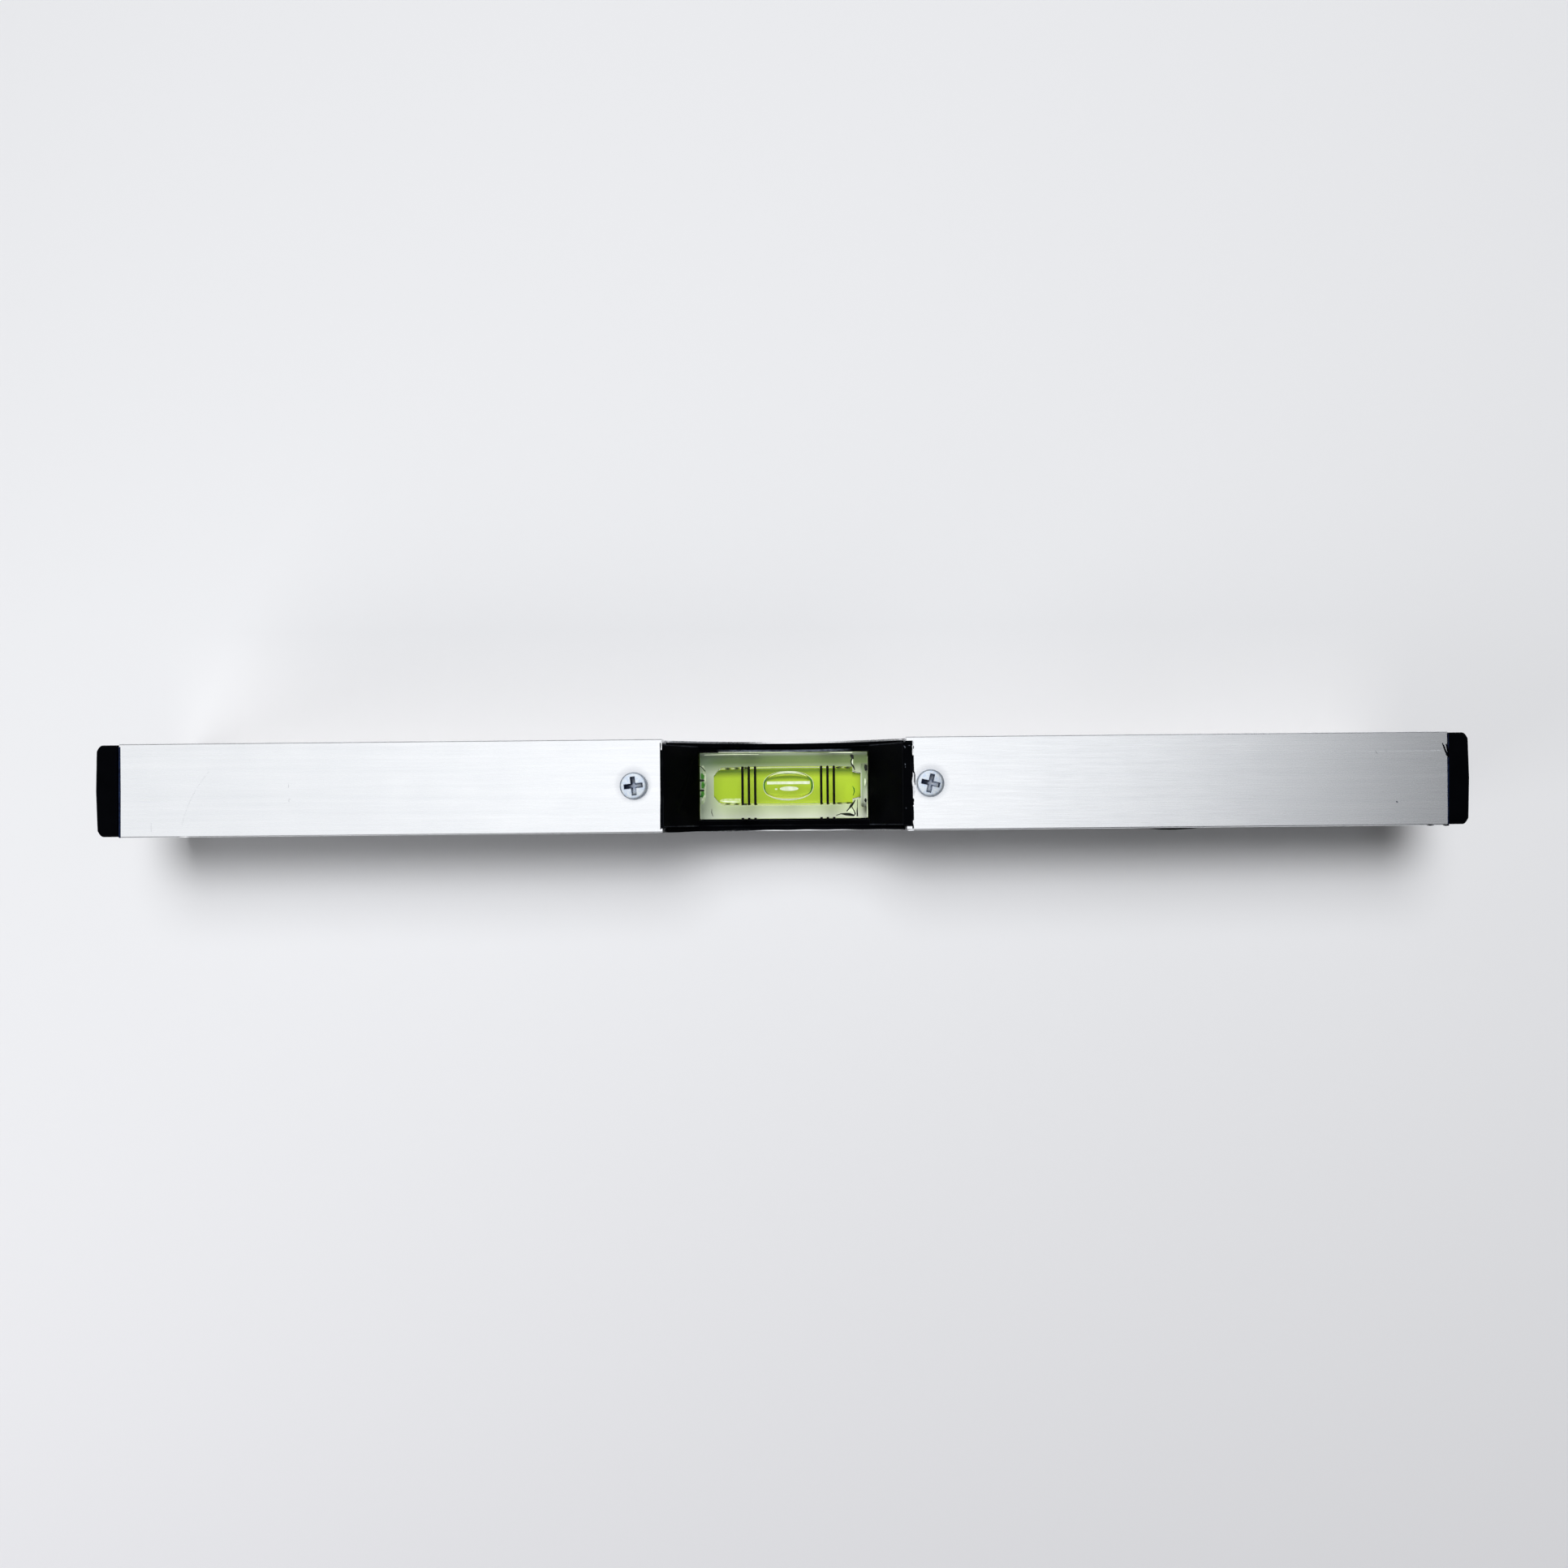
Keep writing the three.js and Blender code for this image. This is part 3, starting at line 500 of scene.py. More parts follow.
def black_ink():
    material, tree, shader = new_finish("black_ink")
    patches = use_effect(tree, clouds, patch_size=0.4 * MM, detail=2.0)
    tone = blended(tree, patches, (0.0008, 0.0008, 0.001, 1), (0.003, 0.003, 0.003, 1))
    feed(shader, base_color=tone, specular_ior_level=0.1)
    feed(shader, roughness=spread(tree, patches, 0.4, 0.6))
    return material


def screw_recess(tree, side):
    """Where painted shade darkens the cross of a holder screw: 1 in the cross, most of all in its left arm,
    and 0 on the rest of its head.
    """
    node = "holder_screw_" + side
    middle = middle_of(node)
    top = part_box(node)[1].z
    parts = place_parts(tree)
    near = use_effect(tree, halo, x=middle.x, y=middle.y, inner=2.2 * MM, outer=2.4 * MM)
    deep = ranged(tree, parts["Z"], top - 0.5 * MM, top - 0.2 * MM, 1, 0)
    leftward = ranged(tree, parts["X"], middle.x - 1.6 * MM, middle.x + 1.2 * MM, 1.0, 0.35)
    backward = ranged(tree, parts["Y"], middle.y - 1.5 * MM, middle.y - 0.4 * MM, 0.1, 1.0)
    return times(tree, times(tree, near, deep), times(tree, leftward, backward))


def plated_steel(name, dark, bright, outline, smoothness):
    """Bright plating with small crystals and scuffs, and rounded edges painted dark as painted shade."""
    material, tree, shader = new_finish(name)
    crystals = use_effect(tree, clouds, patch_size=0.5 * MM, detail=3.0)
    scuffs = use_effect(tree, marks, spacing=1.2 * MM, length=3.0, width=0.05, turn=0.5)
    edges = use_effect(tree, worn_edges, reach=0.26 * MM, sharpness=9.0)
    plain = blended(tree, ranged(tree, crystals, 0.35, 0.65, 0, 1), dark, bright)
    scuffed = blended(tree, times(tree, scuffs, 0.4), plain, dark)
    # Painted shade: rounded edges turn to the dark outline colour
    edge_shaded = blended(tree, times(tree, edges, 0.9), scuffed, outline)
    roughness = spread(tree, crystals, smoothness, smoothness + 0.12)
    feed(shader, metallic=1.0, roughness=roughness)
    feed(shader, normal=bumped(tree, crystals, 0.03 * MM, 0.5))
    return material, shader, edge_shaded


def zinc_plate():
    """The screws' plating: bluish and bright, with painted navy shade in the cross."""
    dark = (0.62, 0.71, 0.85, 1)
    bright = (0.92, 0.97, 1.0, 1)
    navy = (0.015, 0.03, 0.10, 1)
    material, shader, colour = plated_steel("zinc_plate", dark, bright, navy, 0.32)
    tree = material.node_tree
    recess_shade = combined(tree, "MAXIMUM", screw_recess(tree, "left"), screw_recess(tree, "right"))
    feed(shader, base_color=blended(tree, times(tree, recess_shade, 0.93), colour, navy))
    return material


def nickel_plate():
    dark = (0.42, 0.42, 0.43, 1)
    bright = (0.62, 0.61, 0.59, 1)
    outline = (0.2, 0.2, 0.2, 1)
    material, shader, colour = plated_steel("nickel_plate", dark, bright, outline, 0.25)
    feed(shader, base_color=colour)
    return material


def pale_surface():
    """The surface under the level: pale, with painted shade that darkens it towards the front and on the
    left, and painted light behind the level, as if its back wall mirrored the lamps.
    """
    material, tree, shader = new_finish("pale_surface")
    parts = place_parts(tree)
    # Painted shade: darker towards the front, and a little darker on the left
    rightward = ranged(tree, parts["X"], -0.2, 0.2, 0, 1)
    forward = ranged(tree, parts["Y"], 0.0, -0.24, 0, 1)
    side = blended(tree, rightward, linear(235, 236, 239), linear(239, 240, 243))
    dimming = times(tree, forward, ranged(tree, rightward, 0, 1, 0.4, 0.26))
    shade = blended(tree, dimming, side, linear(206, 204, 210))
    # Painted light: a paler band behind the level, as if its back wall mirrored the lamps onto the surface
    behind = ranged(tree, parts["Y"], 10 * MM, 40 * MM, 1, 0)
    ends = {"low": body_low.x, "high": body_high.x, "blend": 20 * MM}
    beside = use_effect(tree, band, place=parts["X"], **ends)
    ahead = ranged(tree, parts["Y"], 0, 10 * MM, 0, 1)
    mirrored = times(tree, times(tree, behind, beside), ahead)
    colour = blended(tree, mirrored, shade, linear(250, 250, 252))
    # Far off, where the lamps don't reach, the surface turns into the backdrop for the camera alone
    near = use_effect(tree, halo, inner=0.28, outer=0.95)
    camera_ray = add_node(tree, "LightPath").outputs["Is Camera Ray"]
    far = times(tree, combined(tree, "SUBTRACT", 1.0, near), camera_ray)
    feed(shader, base_color=blended(tree, far, colour, (0, 0, 0, 1)))
    feed(shader, emission_color=blended(tree, far, (0, 0, 0, 1), BACKDROP), emission_strength=1.0)
    feed(shader, roughness=0.7, specular_ior_level=0.1)
    return material


finishes = {
    "aluminium": brushed_aluminium(),
    "cap": cap_plastic(),
    "holder": holder_plastic(),
    "backing": vial_backing(),
    "acrylic": clear_acrylic(),
    "spirit": lime_spirit(),
    "air": trapped_air(),
    "ink": black_ink(),
    "plug": plug_plastic(),
    "glint": tinted("glint", linear(222, 236, 196), linear(238, 246, 224), 0.06),
    # A soft painted highlight in the spirit
    "soft_highlight": tinted("soft_highlight", linear(190, 214, 112), linear(222, 234, 180)),
    "rim": tinted("pale_rim", linear(132, 152, 116), linear(196, 208, 178)),
    "green": tinted("dark_green", linear(16, 78, 14), linear(70, 140, 40)),
    "crack": tinted("crack", linear(0, 2, 0), linear(22, 30, 18)),
    "navy": tinted("navy_rim", linear(8, 14, 36), linear(26, 38, 66)),
    "flake": tinted("torn_aluminium", linear(206, 209, 214), linear(246, 247, 249)),
    "scratch": tinted("scratched_aluminium", linear(198, 201, 207), linear(216, 218, 223)),
    "faint_scratch": tinted("faint_scratch", linear(216, 218, 223), linear(228, 230, 235)),
    # Painted highlight along the ramps' edges
    "faint_edge_highlight": tinted("painted_edge_highlight", linear(16, 18, 22), linear(66, 70, 78)),
    "rub": tinted("rubbed_plastic", linear(46, 50, 58), linear(120, 126, 136)),
    "zinc": zinc_plate(),
    "nickel": nickel_plate(),
}


# Pieces

def new_piece(name, mesh, body, finish):
    """A mesh as a named piece that rides on a body."""
    mesh.name = name
    piece = bpy.data.objects.new(name, mesh)
    bpy.context.scene.collection.objects.link(piece)
    mesh.materials.append(finishes[finish])
    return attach(piece, body)


def finish_mesh(shape, smooth_angle):
    """A mesh from a bmesh, smooth except at edges sharper than an angle in degrees."""
    bmesh.ops.recalc_face_normals(shape, faces=shape.faces)
    mesh = bpy.data.meshes.new("shape")
    shape.to_mesh(mesh)
    shape.free()
    mesh.shade_smooth()
    mesh.set_sharp_from_angle(angle=math.radians(smooth_angle))
    return mesh


def turned(profile, sides, axis, centre, smooth_angle=40):
    """A solid of revolution from points of radius and place along an axis. Its two ends lie on the axis."""
    shape = bmesh.new()
    along = {"X": Matrix.Rotation(math.radians(90), 3, "Y"), "Z": Matrix.Identity(3)}[axis]
    rings = []
    for radius, rise in profile:
        if radius == 0:
            rings.append([shape.verts.new(centre + along @ Vector((0, 0, rise)))])
            continue
        ring = []
        for side in range(sides):
            angle = math.tau * side / sides
            ring.append(shape.verts.new(
                centre + along @ Vector((radius * math.cos(angle), radius * math.sin(angle), rise))
            ))
        rings.append(ring)
    for lower, upper in zip(rings, rings[1:]):
        for side in range(sides):
            after = (side + 1) % sides
            corners = [lower[side % len(lower)], lower[after % len(lower)]]
            corners += [upper[after % len(upper)], upper[side % len(upper)]]
            shape.faces.new(list(dict.fromkeys(corners)))
    return finish_mesh(shape, smooth_angle)


def rounded_box(low, high, radius, segments):
    """A box with rounded edges."""
    shape = bmesh.new()
    size = high - low
    middle = (high + low) / 2
    bmesh.ops.create_cube(shape, size=1, matrix=Matrix.Translation(middle) @ Matrix.Diagonal((*size, 1)))
    edges = shape.edges[:]
    bmesh.ops.bevel(shape, geom=edges, offset=radius, segments=segments, profile=0.5, affect="EDGES")
    return finish_mesh(shape, 30)


def ribbon(stations, thickness, closed=False):
    """A thin closed strip. Each station is a pair of points, from which it goes down by its thickness."""
    shape = bmesh.new()
    down = Vector((0, 0, -thickness))
    rings = []
    for first, second in stations:
        corners = (first, second, second + down, first + down)
        rings.append([shape.verts.new(corner) for corner in corners])
    following = rings[1:] + rings[:1] if closed else rings[1:]
    for ring, after in zip(rings, following):
        for side in range(4):
            beside = (side + 1) % 4
            shape.faces.new((ring[side], ring[beside], after[beside], after[side]))
    if not closed:
        shape.faces.new(rings[0])
        shape.faces.new(rings[-1])
    return finish_mesh(shape, 30)


def stroke(name, path, height, thickness, finish, in_block=False):
    """A thin strip on the level, drawn through pixels of the picture, each with a width in pixels."""
    locate = place_in_block if in_block else place_in_picture
    stations = []
    for index, (across, down, width) in enumerate(path):
        before = path[max(index - 1, 0)]
        after = path[min(index + 1, len(path) - 1)]
        way = Vector((after[0] - before[0], after[1] - before[1])).normalized()
        off = Vector((-way.y, way.x)) * width / 2
        first = locate(across + off.x, down + off.y, height)
        second = locate(across - off.x, down - off.y, height)
        stations.append((first, second))
    new_piece(name, ribbon(stations, thickness), "level", finish)


def soften_edges(piece, width):
    """Rounds a CAD node's sharp edges without moving its own vertices."""
    for polygon in piece.data.polygons:
        polygon.use_smooth = True
    custom = piece.data.attributes.get("custom_normal")
    if custom:
        piece.data.attributes.remove(custom)
    weld = piece.modifiers.new("weld", "WELD")
    weld.merge_threshold = 0.001 * MM
    merge = piece.modifiers.new("flat_faces", "DECIMATE")
    merge.decimate_type = "DISSOLVE"
    merge.angle_limit = math.radians(0.5)
    bevel = piece.modifiers.new("soft_edges", "BEVEL")
    bevel.width = width
    bevel.segments = 2
    bevel.limit_method = "ANGLE"
    bevel.angle_limit = math.radians(50)
    bevel.use_clamp_overlap = True
    even = piece.modifiers.new("even_shading", "WEIGHTED_NORMAL")
    even.weight = 100
    even.keep_sharp = True


def dress_cad_nodes():
    """Gives each CAD node that stays in sight its finish, and most of them softer edges."""
    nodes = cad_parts
    kinds = {
        "level_body": ("aluminium", 0.1 * MM),
        "end_cap": ("cap", 0.25 * MM),
        "vial_holder": ("holder", 0.12 * MM),
        "vial_reflector": ("backing", 0.1 * MM),
        "top_line": ("ink", 0),
        "back_line": ("ink", 0),
        "plumb_line": ("ink", 0),
        "magnet_carrier": ("holder", 0.1 * MM),
        "magnet_left": ("nickel", 0),
        "magnet_right": ("nickel", 0),
        "plumb_shell": ("holder", 0.15 * MM),
    }
    for start, (finish, edge) in kinds.items():
        for name, node in nodes.items():
            if name.startswith(start):
                node.data.materials.clear()
                node.data.materials.append(finishes[finish])
                if edge:
                    soften_edges(node, edge)


# Holder

# The scoop in the side walls: its middle, how far it reaches, its floor and how high its ends stand
SCOOP_MIDDLE = 0.4 * MM
SCOOP_HALF = 26.7 * MM
SCOOP_FLOOR = 30 * MM
SCOOP_RISE = 12 * MM


def scoop_height(x):
    """The height of the scoop's arc at a place along the level."""
    radius = (SCOOP_HALF ** 2 + SCOOP_RISE ** 2) / (2 * SCOOP_RISE)
    return SCOOP_FLOOR + radius - math.sqrt(radius ** 2 - (x - SCOOP_MIDDLE) ** 2)


# The painted highlights along the ramps' edges: how wide they are at their feet and at their tops, and how
# they lie
HIGHLIGHT_AT_FOOT = 0.08 * MM
HIGHLIGHT_AT_TOP = 0.03 * MM
HIGHLIGHT_THICKNESS = 0.05 * MM
HIGHLIGHT_LIFT = 0.04 * MM
RAMP_FOOT_DROP = 2.1 * MM
RAMP_TOP_DROP = 0.1 * MM
RAMP_GAP = 0.3 * MM
RAMP_RUN = 6.85 * MM
RAMP_EDGE = 8.9 * MM
RAMP_STEPS = 8


def add_ramp_highlights():
    """Painted highlights along the ramps' long edges, grey, most of all at their feet."""
    foot_height = block_high.z - RAMP_FOOT_DROP
    top_height = TOP - RAMP_TOP_DROP
    block_middle = (block_low.x + block_high.x) / 2
    foot = (block_high.x - block_low.x) / 2 + RAMP_GAP
    for side, way in (("left", -1), ("right", 1)):
        for face, across in (("front", -1), ("back", 1)):
            stations = []
            for step in range(RAMP_STEPS + 1):
                share = step / RAMP_STEPS
                x = block_middle + way * (foot + RAMP_RUN * share)
                height = foot_height + (top_height - foot_height) * share + HIGHLIGHT_LIFT
                waver = 1 + 0.3 * math.sin(9 * share + way)
                half = (HIGHLIGHT_AT_FOOT + (HIGHLIGHT_AT_TOP - HIGHLIGHT_AT_FOOT) * share) * waver
                y = across * RAMP_EDGE
                stations.append((Vector((x, y + half, height)), Vector((x, y - half, height))))
            name = f"ramp_highlight_{side}_{face}"
            new_piece(name, ribbon(stations, HIGHLIGHT_THICKNESS), "level", "faint_edge_highlight")


# The flash along the front lip: its lift off the wall, its inner edge, and how far it hangs over outside
FLASH_LIFT = 0.16 * MM
FLASH_SINK = 0.02 * MM
FLASH_INNER = 9.5 * MM
FLASH_OVERHANG = 0.06 * MM
FLASH_DRAWN_IN = 0.25 * MM
FLASH_RIPPLE = 0.04 * MM
FLASH_RIPPLE_RATE = 40
FLASH_REACH_SHARE = 0.995
FLASH_STEPS = 60


def add_front_lip():
    """The lip's flash: a thin black edge that lies on the front wall and hides most of its rim."""
    stations = []
    for step in range(FLASH_STEPS + 1):
        share = step / FLASH_STEPS
        x = SCOOP_MIDDLE + SCOOP_HALF * FLASH_REACH_SHARE * (2 * share - 1)
        overhang = FLASH_OVERHANG - FLASH_DRAWN_IN * min(share / 0.25, 1)
        outer = BODY_HALF_WIDTH + overhang + FLASH_RIPPLE * math.sin(FLASH_RIPPLE_RATE * share)
        height = scoop_height(x) + FLASH_LIFT
        stations.append((Vector((x, -outer, height)), Vector((x, -FLASH_INNER, height))))
    mesh = ribbon(stations, FLASH_LIFT - FLASH_SINK)
    new_piece("front_lip_flash", mesh, "level", "holder")


# Block vial

def add_block():
    """The clear block, a hair shorter and narrower than its CAD node, as the photograph shows it."""
    inset = Vector((0.2, 0.08, 0)) * MM
    rounding = 0.2 * MM
    mesh = rounded_box(block_low + inset, block_high - inset, rounding, 3)
    block = new_piece("acrylic_block", mesh, "level", "acrylic")
    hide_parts("vial_block")


def add_spirit():
    """The spirit fills the bore: a barrel with its left end cut to an octagon, and a neck at its right."""
    left = liquid_low.x + BORE_CLEARANCE
    right = liquid_high.x + 0.4 * MM
    barrel_right = liquid_high.x - 1.4 * MM
    cut_run = 1.4 * MM
    cut_drop = 1.8 * MM
    crown = 0.25 * MM
    neck = 3.2 * MM
    neck_drop = 0.5 * MM
    steps = 96
    half = (barrel_right - left) / 2
    points = [(0, left)]
    for step in range(steps + 1):
        x = left + (barrel_right - left) * step / steps
        points.append((BORE_RADIUS - crown * ((x - BUBBLE_MIDDLE) / half) ** 2, x))
    points += [(neck, barrel_right), (neck - neck_drop, right), (0, right)]
    mesh = turned(points, 96, "X", Vector((0, 0, VIAL_HEIGHT)))
    end_half = BORE_RADIUS - crown - cut_drop
    for vertex in mesh.vertices:
        limit = end_half + cut_drop * max(vertex.co.x - left, 0) / cut_run
        vertex.co.y = min(max(vertex.co.y, -limit), limit)
    mesh.set_sharp_from_angle(angle=math.radians(20))
    spirit = new_piece("spirit", mesh, "level", "spirit")
    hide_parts("vial_liquid")


# The bubble's outline is an oval squarer than an ellipse
BUBBLE_SQUARENESS = 2.35
BUBBLE_HALF_LENGTH = (bubble_high.x - bubble_low.x) / 2
BUBBLE_HALF_WIDTH = (bubble_high.y - bubble_low.y) / 2


def bubble_edge(angle, share):
    """A point on an oval like the bubble's outline, drawn in or out by a share."""
    def reach(part, half):
        return math.copysign(abs(part) ** (2 / BUBBLE_SQUARENESS), part) * half * share
    return reach(math.cos(angle), BUBBLE_HALF_LENGTH), reach(math.sin(angle), BUBBLE_HALF_WIDTH)


def add_bubble():
    """The bubble: a long oval under the top of the bore, its upper side rounded like the bore."""
    crown_radius = bubble_high.z - VIAL_HEIGHT
    floor = bubble_low.z - VIAL_HEIGHT + 0.6 * MM
    rim_drop = 0.5 * MM
    rings = 14
    sides = 72
    shape = bmesh.new()

    def arch(y):
        return math.sqrt(crown_radius ** 2 - y ** 2)

    def top_point(side, share):
        x, y = bubble_edge(math.tau * side / sides, share)
        return BUBBLE_MIDDLE + x, y, VIAL_HEIGHT + arch(y) - rim_drop * (1 - math.sqrt(1 - share ** 6))

    def floor_point(side, share):
        angle = math.tau * side / sides
        x, y = bubble_edge(angle, share)
        rim = arch(bubble_edge(angle, 1)[1]) - rim_drop
        return BUBBLE_MIDDLE + x, y, VIAL_HEIGHT + floor + (rim - floor) * (1 - math.sqrt(1 - share ** 4))

    def ring_of(point, share):
        return [shape.verts.new(point(side, share)) for side in range(sides)]

    shares = [math.sin(math.pi / 2 * ring / rings) for ring in range(1, rings)]
    layers = [ring_of(top_point, share) for share in shares + [1]]
    layers += [ring_of(floor_point, share) for share in reversed(shares)]
    for outer, inner in zip(layers, layers[1:]):
        for side in range(sides):
            after = (side + 1) % sides
            shape.faces.new((outer[side], outer[after], inner[after], inner[side]))
    for layer, height in ((layers[0], top_point(0, 0)[2]), (layers[-1], floor_point(0, 0)[2])):
        tip = shape.verts.new((BUBBLE_MIDDLE, 0, height))
        for side in range(sides):
            shape.faces.new((tip, layer[side], layer[(side + 1) % sides]))
    mesh = finish_mesh(shape, 60)
    bubble = new_piece("bubble", mesh, "level_bubble", "air")
    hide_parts("level_bubble")


# How high the glints lie above the bore: the crescents and the dark ends lie over the rest
GLINT_LIFT = 0.06 * MM
CRESCENT_LIFT = 0.07 * MM
END_LIFT = 0.08 * MM
GLINT_THICKNESS = 0.03 * MM


def on_bore(x, y, lift=GLINT_LIFT):
    """The point just above the spirit at a place beside the bubble's middle."""
    return Vector((BUBBLE_MIDDLE + x, y, VIAL_HEIGHT + math.sqrt((BORE_RADIUS + lift) ** 2 - y ** 2)))


def add_glint(name, stations, finish, closed=False):
    """A thin strip of light or shade that moves with the bubble."""
    new_piece(name, ribbon(stations, GLINT_THICKNESS, closed), "level_bubble", finish)


def arc_on_bore(name, start, stop, share, width, finish, lift):
    """A glint along the bubble's outline between two angles in degrees. It is widest in its middle."""
    steps = 48
    closed = stop - start == 360
    stations = []
    for step in range(steps if closed else steps + 1):
        angle = math.radians(start + (stop - start) * step / steps)
        swell = 1 if closed else math.sin(math.pi * min(max(step / steps, 0.03), 0.97))
        x, y = bubble_edge(angle, share)
        inward = Vector((x, y)).normalized() * width / 2 * swell
        first = on_bore(x + inward.x, y + inward.y, lift)
        second = on_bore(x - inward.x, y - inward.y, lift)
        stations.append((first, second))
    add_glint(name, stations, finish, closed)


# Each painted glint or dark arc along the outline: two angles, its share of the outline, its width, its
# finish and its lift
ARCS = {
    "bubble_rim": (0, 360, 0.985, 0.1 * MM, "glint", GLINT_LIFT),
    "bubble_back_crescent": (42, 138, 0.91, 0.42 * MM, "glint", CRESCENT_LIFT),
    "bubble_front_crescent": (-145, -35, 0.95, 0.4 * MM, "glint", CRESCENT_LIFT),
    "bubble_back_line": (25, 155, 0.82, 0.16 * MM, "green", GLINT_LIFT),
    "bubble_left_end": (138, 214, 0.95, 0.36 * MM, "green", END_LIFT),
    "bubble_right_end": (-42, 48, 0.93, 0.4 * MM, "green", END_LIFT),
}

# The long glints inside the outline: where their middles are beside the bubble's, and half their sizes
STRIPE_MIDDLE = 0.62 * MM
STRIPE_HALF_WIDTH = 0.32 * MM
STRIPE_HALF_LENGTH = BUBBLE_HALF_LENGTH * 0.84
OVALS = {
    "bubble_oval": ((0.15 * MM, -0.68 * MM), 2.1 * MM, 0.5 * MM),
    "bubble_spot": ((-2.75 * MM, -0.75 * MM), 0.3 * MM, 0.17 * MM),
}


def add_bubble_glints():
    """What the light draws on the bubble: a bright rim, dark green ends, a long stripe and an oval."""
    for name, values in ARCS.items():
        arc_on_bore(name, *values)
    steps = 24
    back = STRIPE_MIDDLE + STRIPE_HALF_WIDTH
    front = STRIPE_MIDDLE - STRIPE_HALF_WIDTH
    stripe = []
    for step in range(steps + 1):
        x = -STRIPE_HALF_LENGTH + 2 * STRIPE_HALF_LENGTH * step / steps
        stripe.append((on_bore(x, back), on_bore(x, front)))
    add_glint("bubble_stripe", stripe, "glint")
    for name, (centre, half_length, half_width) in OVALS.items():
        oval = []
        for step in range(1, steps):
            angle = math.pi * step / steps
            x = centre[0] - half_length * math.cos(angle)
            half = half_width * math.sin(angle)
            oval.append((on_bore(x, centre[1] + half), on_bore(x, centre[1] - half)))
        add_glint(name, oval, "glint")


def add_stopper():
    """The plug: a flat disc with a rounded rim behind the neck."""
    radius = 4.75 * MM
    back = liquid_high.x + 0.45 * MM
    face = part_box("vial_plug")[1].x - 0.35 * MM
    edge = 0.2 * MM
    profile = [(0, back), (radius - edge, back), (radius, back + edge), (radius, face - edge)]
    profile += [(radius - edge, face), (0, face)]
    mesh = turned(profile, 64, "X", Vector((0, 0, VIAL_HEIGHT)))
    stopper = new_piece("stopper", mesh, "level", "plug")
    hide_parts("vial_plug")


# Flaws inside the block, with painted highlights among them: each has a finish, and points as across, down
# and width in pixels of the picture
CRACKS = {
    "crack_back": ("crack", [
        (1047.8, 930, 1.5), (1049.5, 931.5, 4.5), (1050.5, 934.5, 3), (1048.5, 938, 1.6),
        (1049.5, 942, 2.4), (1051.5, 945, 2), (1053, 949, 1),
    ]),
    # Painted highlight on the back crack
    "crack_back_light": ("glint", [(1050.6, 935.5, 0.8), (1050, 939, 1.8), (1050.6, 942, 0.8)]),
    "crack_front_edge": ("crack", [
        (1030, 1004.6, 0.7), (1036, 1002.5, 1.2), (1042, 1003, 3.2), (1047, 1003.3, 3.6), (1052, 1004.5, 2),
    ]),
    "crack_front_side": ("crack", [
        (1043, 999.5, 1.2), (1046.5, 995.5, 1.6), (1048.8, 992.3, 3.2),
        (1051.5, 989, 2), (1053.5, 985.5, 1),
    ]),
    # Painted highlight on the front crack
    "crack_front_light": ("glint", [
        (1044.5, 999.5, 1), (1047.5, 997.5, 3.2), (1050, 998.5, 2.2), (1051.5, 1001.5, 1),
    ]),
    "crack_front_back": ("crack", [
        (1049.5, 994, 1), (1051.8, 998, 1), (1053.6, 1002.5, 1.6), (1052, 1005, 1),
    ]),
    "crack_line": ("crack", [
        (1056.3, 985, 0.6), (1056.2, 994, 0.7), (1056, 998, 1.6), (1056.2, 1005.5, 1.8),
    ]),
    "crack_left": ("crack", [(877.2, 996.5, 0.4), (877, 1001, 0.9), (878.6, 1005.6, 0.7)]),
    "neck_mark": ("green", [
        (1050.2, 968.5, 0.5), (1052, 971.5, 1.6), (1052.6, 975.5, 1.2), (1050.8, 980, 0.7),
    ]),
    "plug_mark_back": ("crack", [(1066.2, 942, 2), (1066.5, 945.5, 4), (1067, 949.5, 2.6)]),
    "plug_mark_front": ("crack", [(1066.2, 983.5, 1.6), (1066.3, 986, 3.2), (1066.8, 988.5, 1.4)]),
    # Painted highlights on the plug and along its edge
    "plug_light": ("glint", [(1065.6, 959, 0.8), (1065.8, 963, 2.4), (1065.4, 968, 0.8)]),
    "plug_edge": ("glint", [(1068.4, 932, 0.9), (1068.5, 968, 1.1), (1068.4, 1006, 0.9)]),
    "back_scratch": ("glint", [(868, 930.5, 0.5), (905, 929.6, 0.9), (935, 929.8, 0.6)]),
    "back_scratch_long": ("glint", [(885, 927, 0.5), (960, 926.8, 0.7), (1050, 927.6, 0.6)]),
    # Painted highlights: a soft pale patch and a brighter streak in the spirit's front
    "front_highlight_patch": ("soft_highlight", [(887, 986.8, 1), (891, 986.4, 4.6), (905, 986.6, 5.6), (912.6, 986.4, 5.4)]),
    "front_highlight": ("glint", [
        (890, 987.8, 0.5), (897, 987.6, 2.2), (906, 988.2, 1.6), (911, 988, 0.5),
    ]),
}

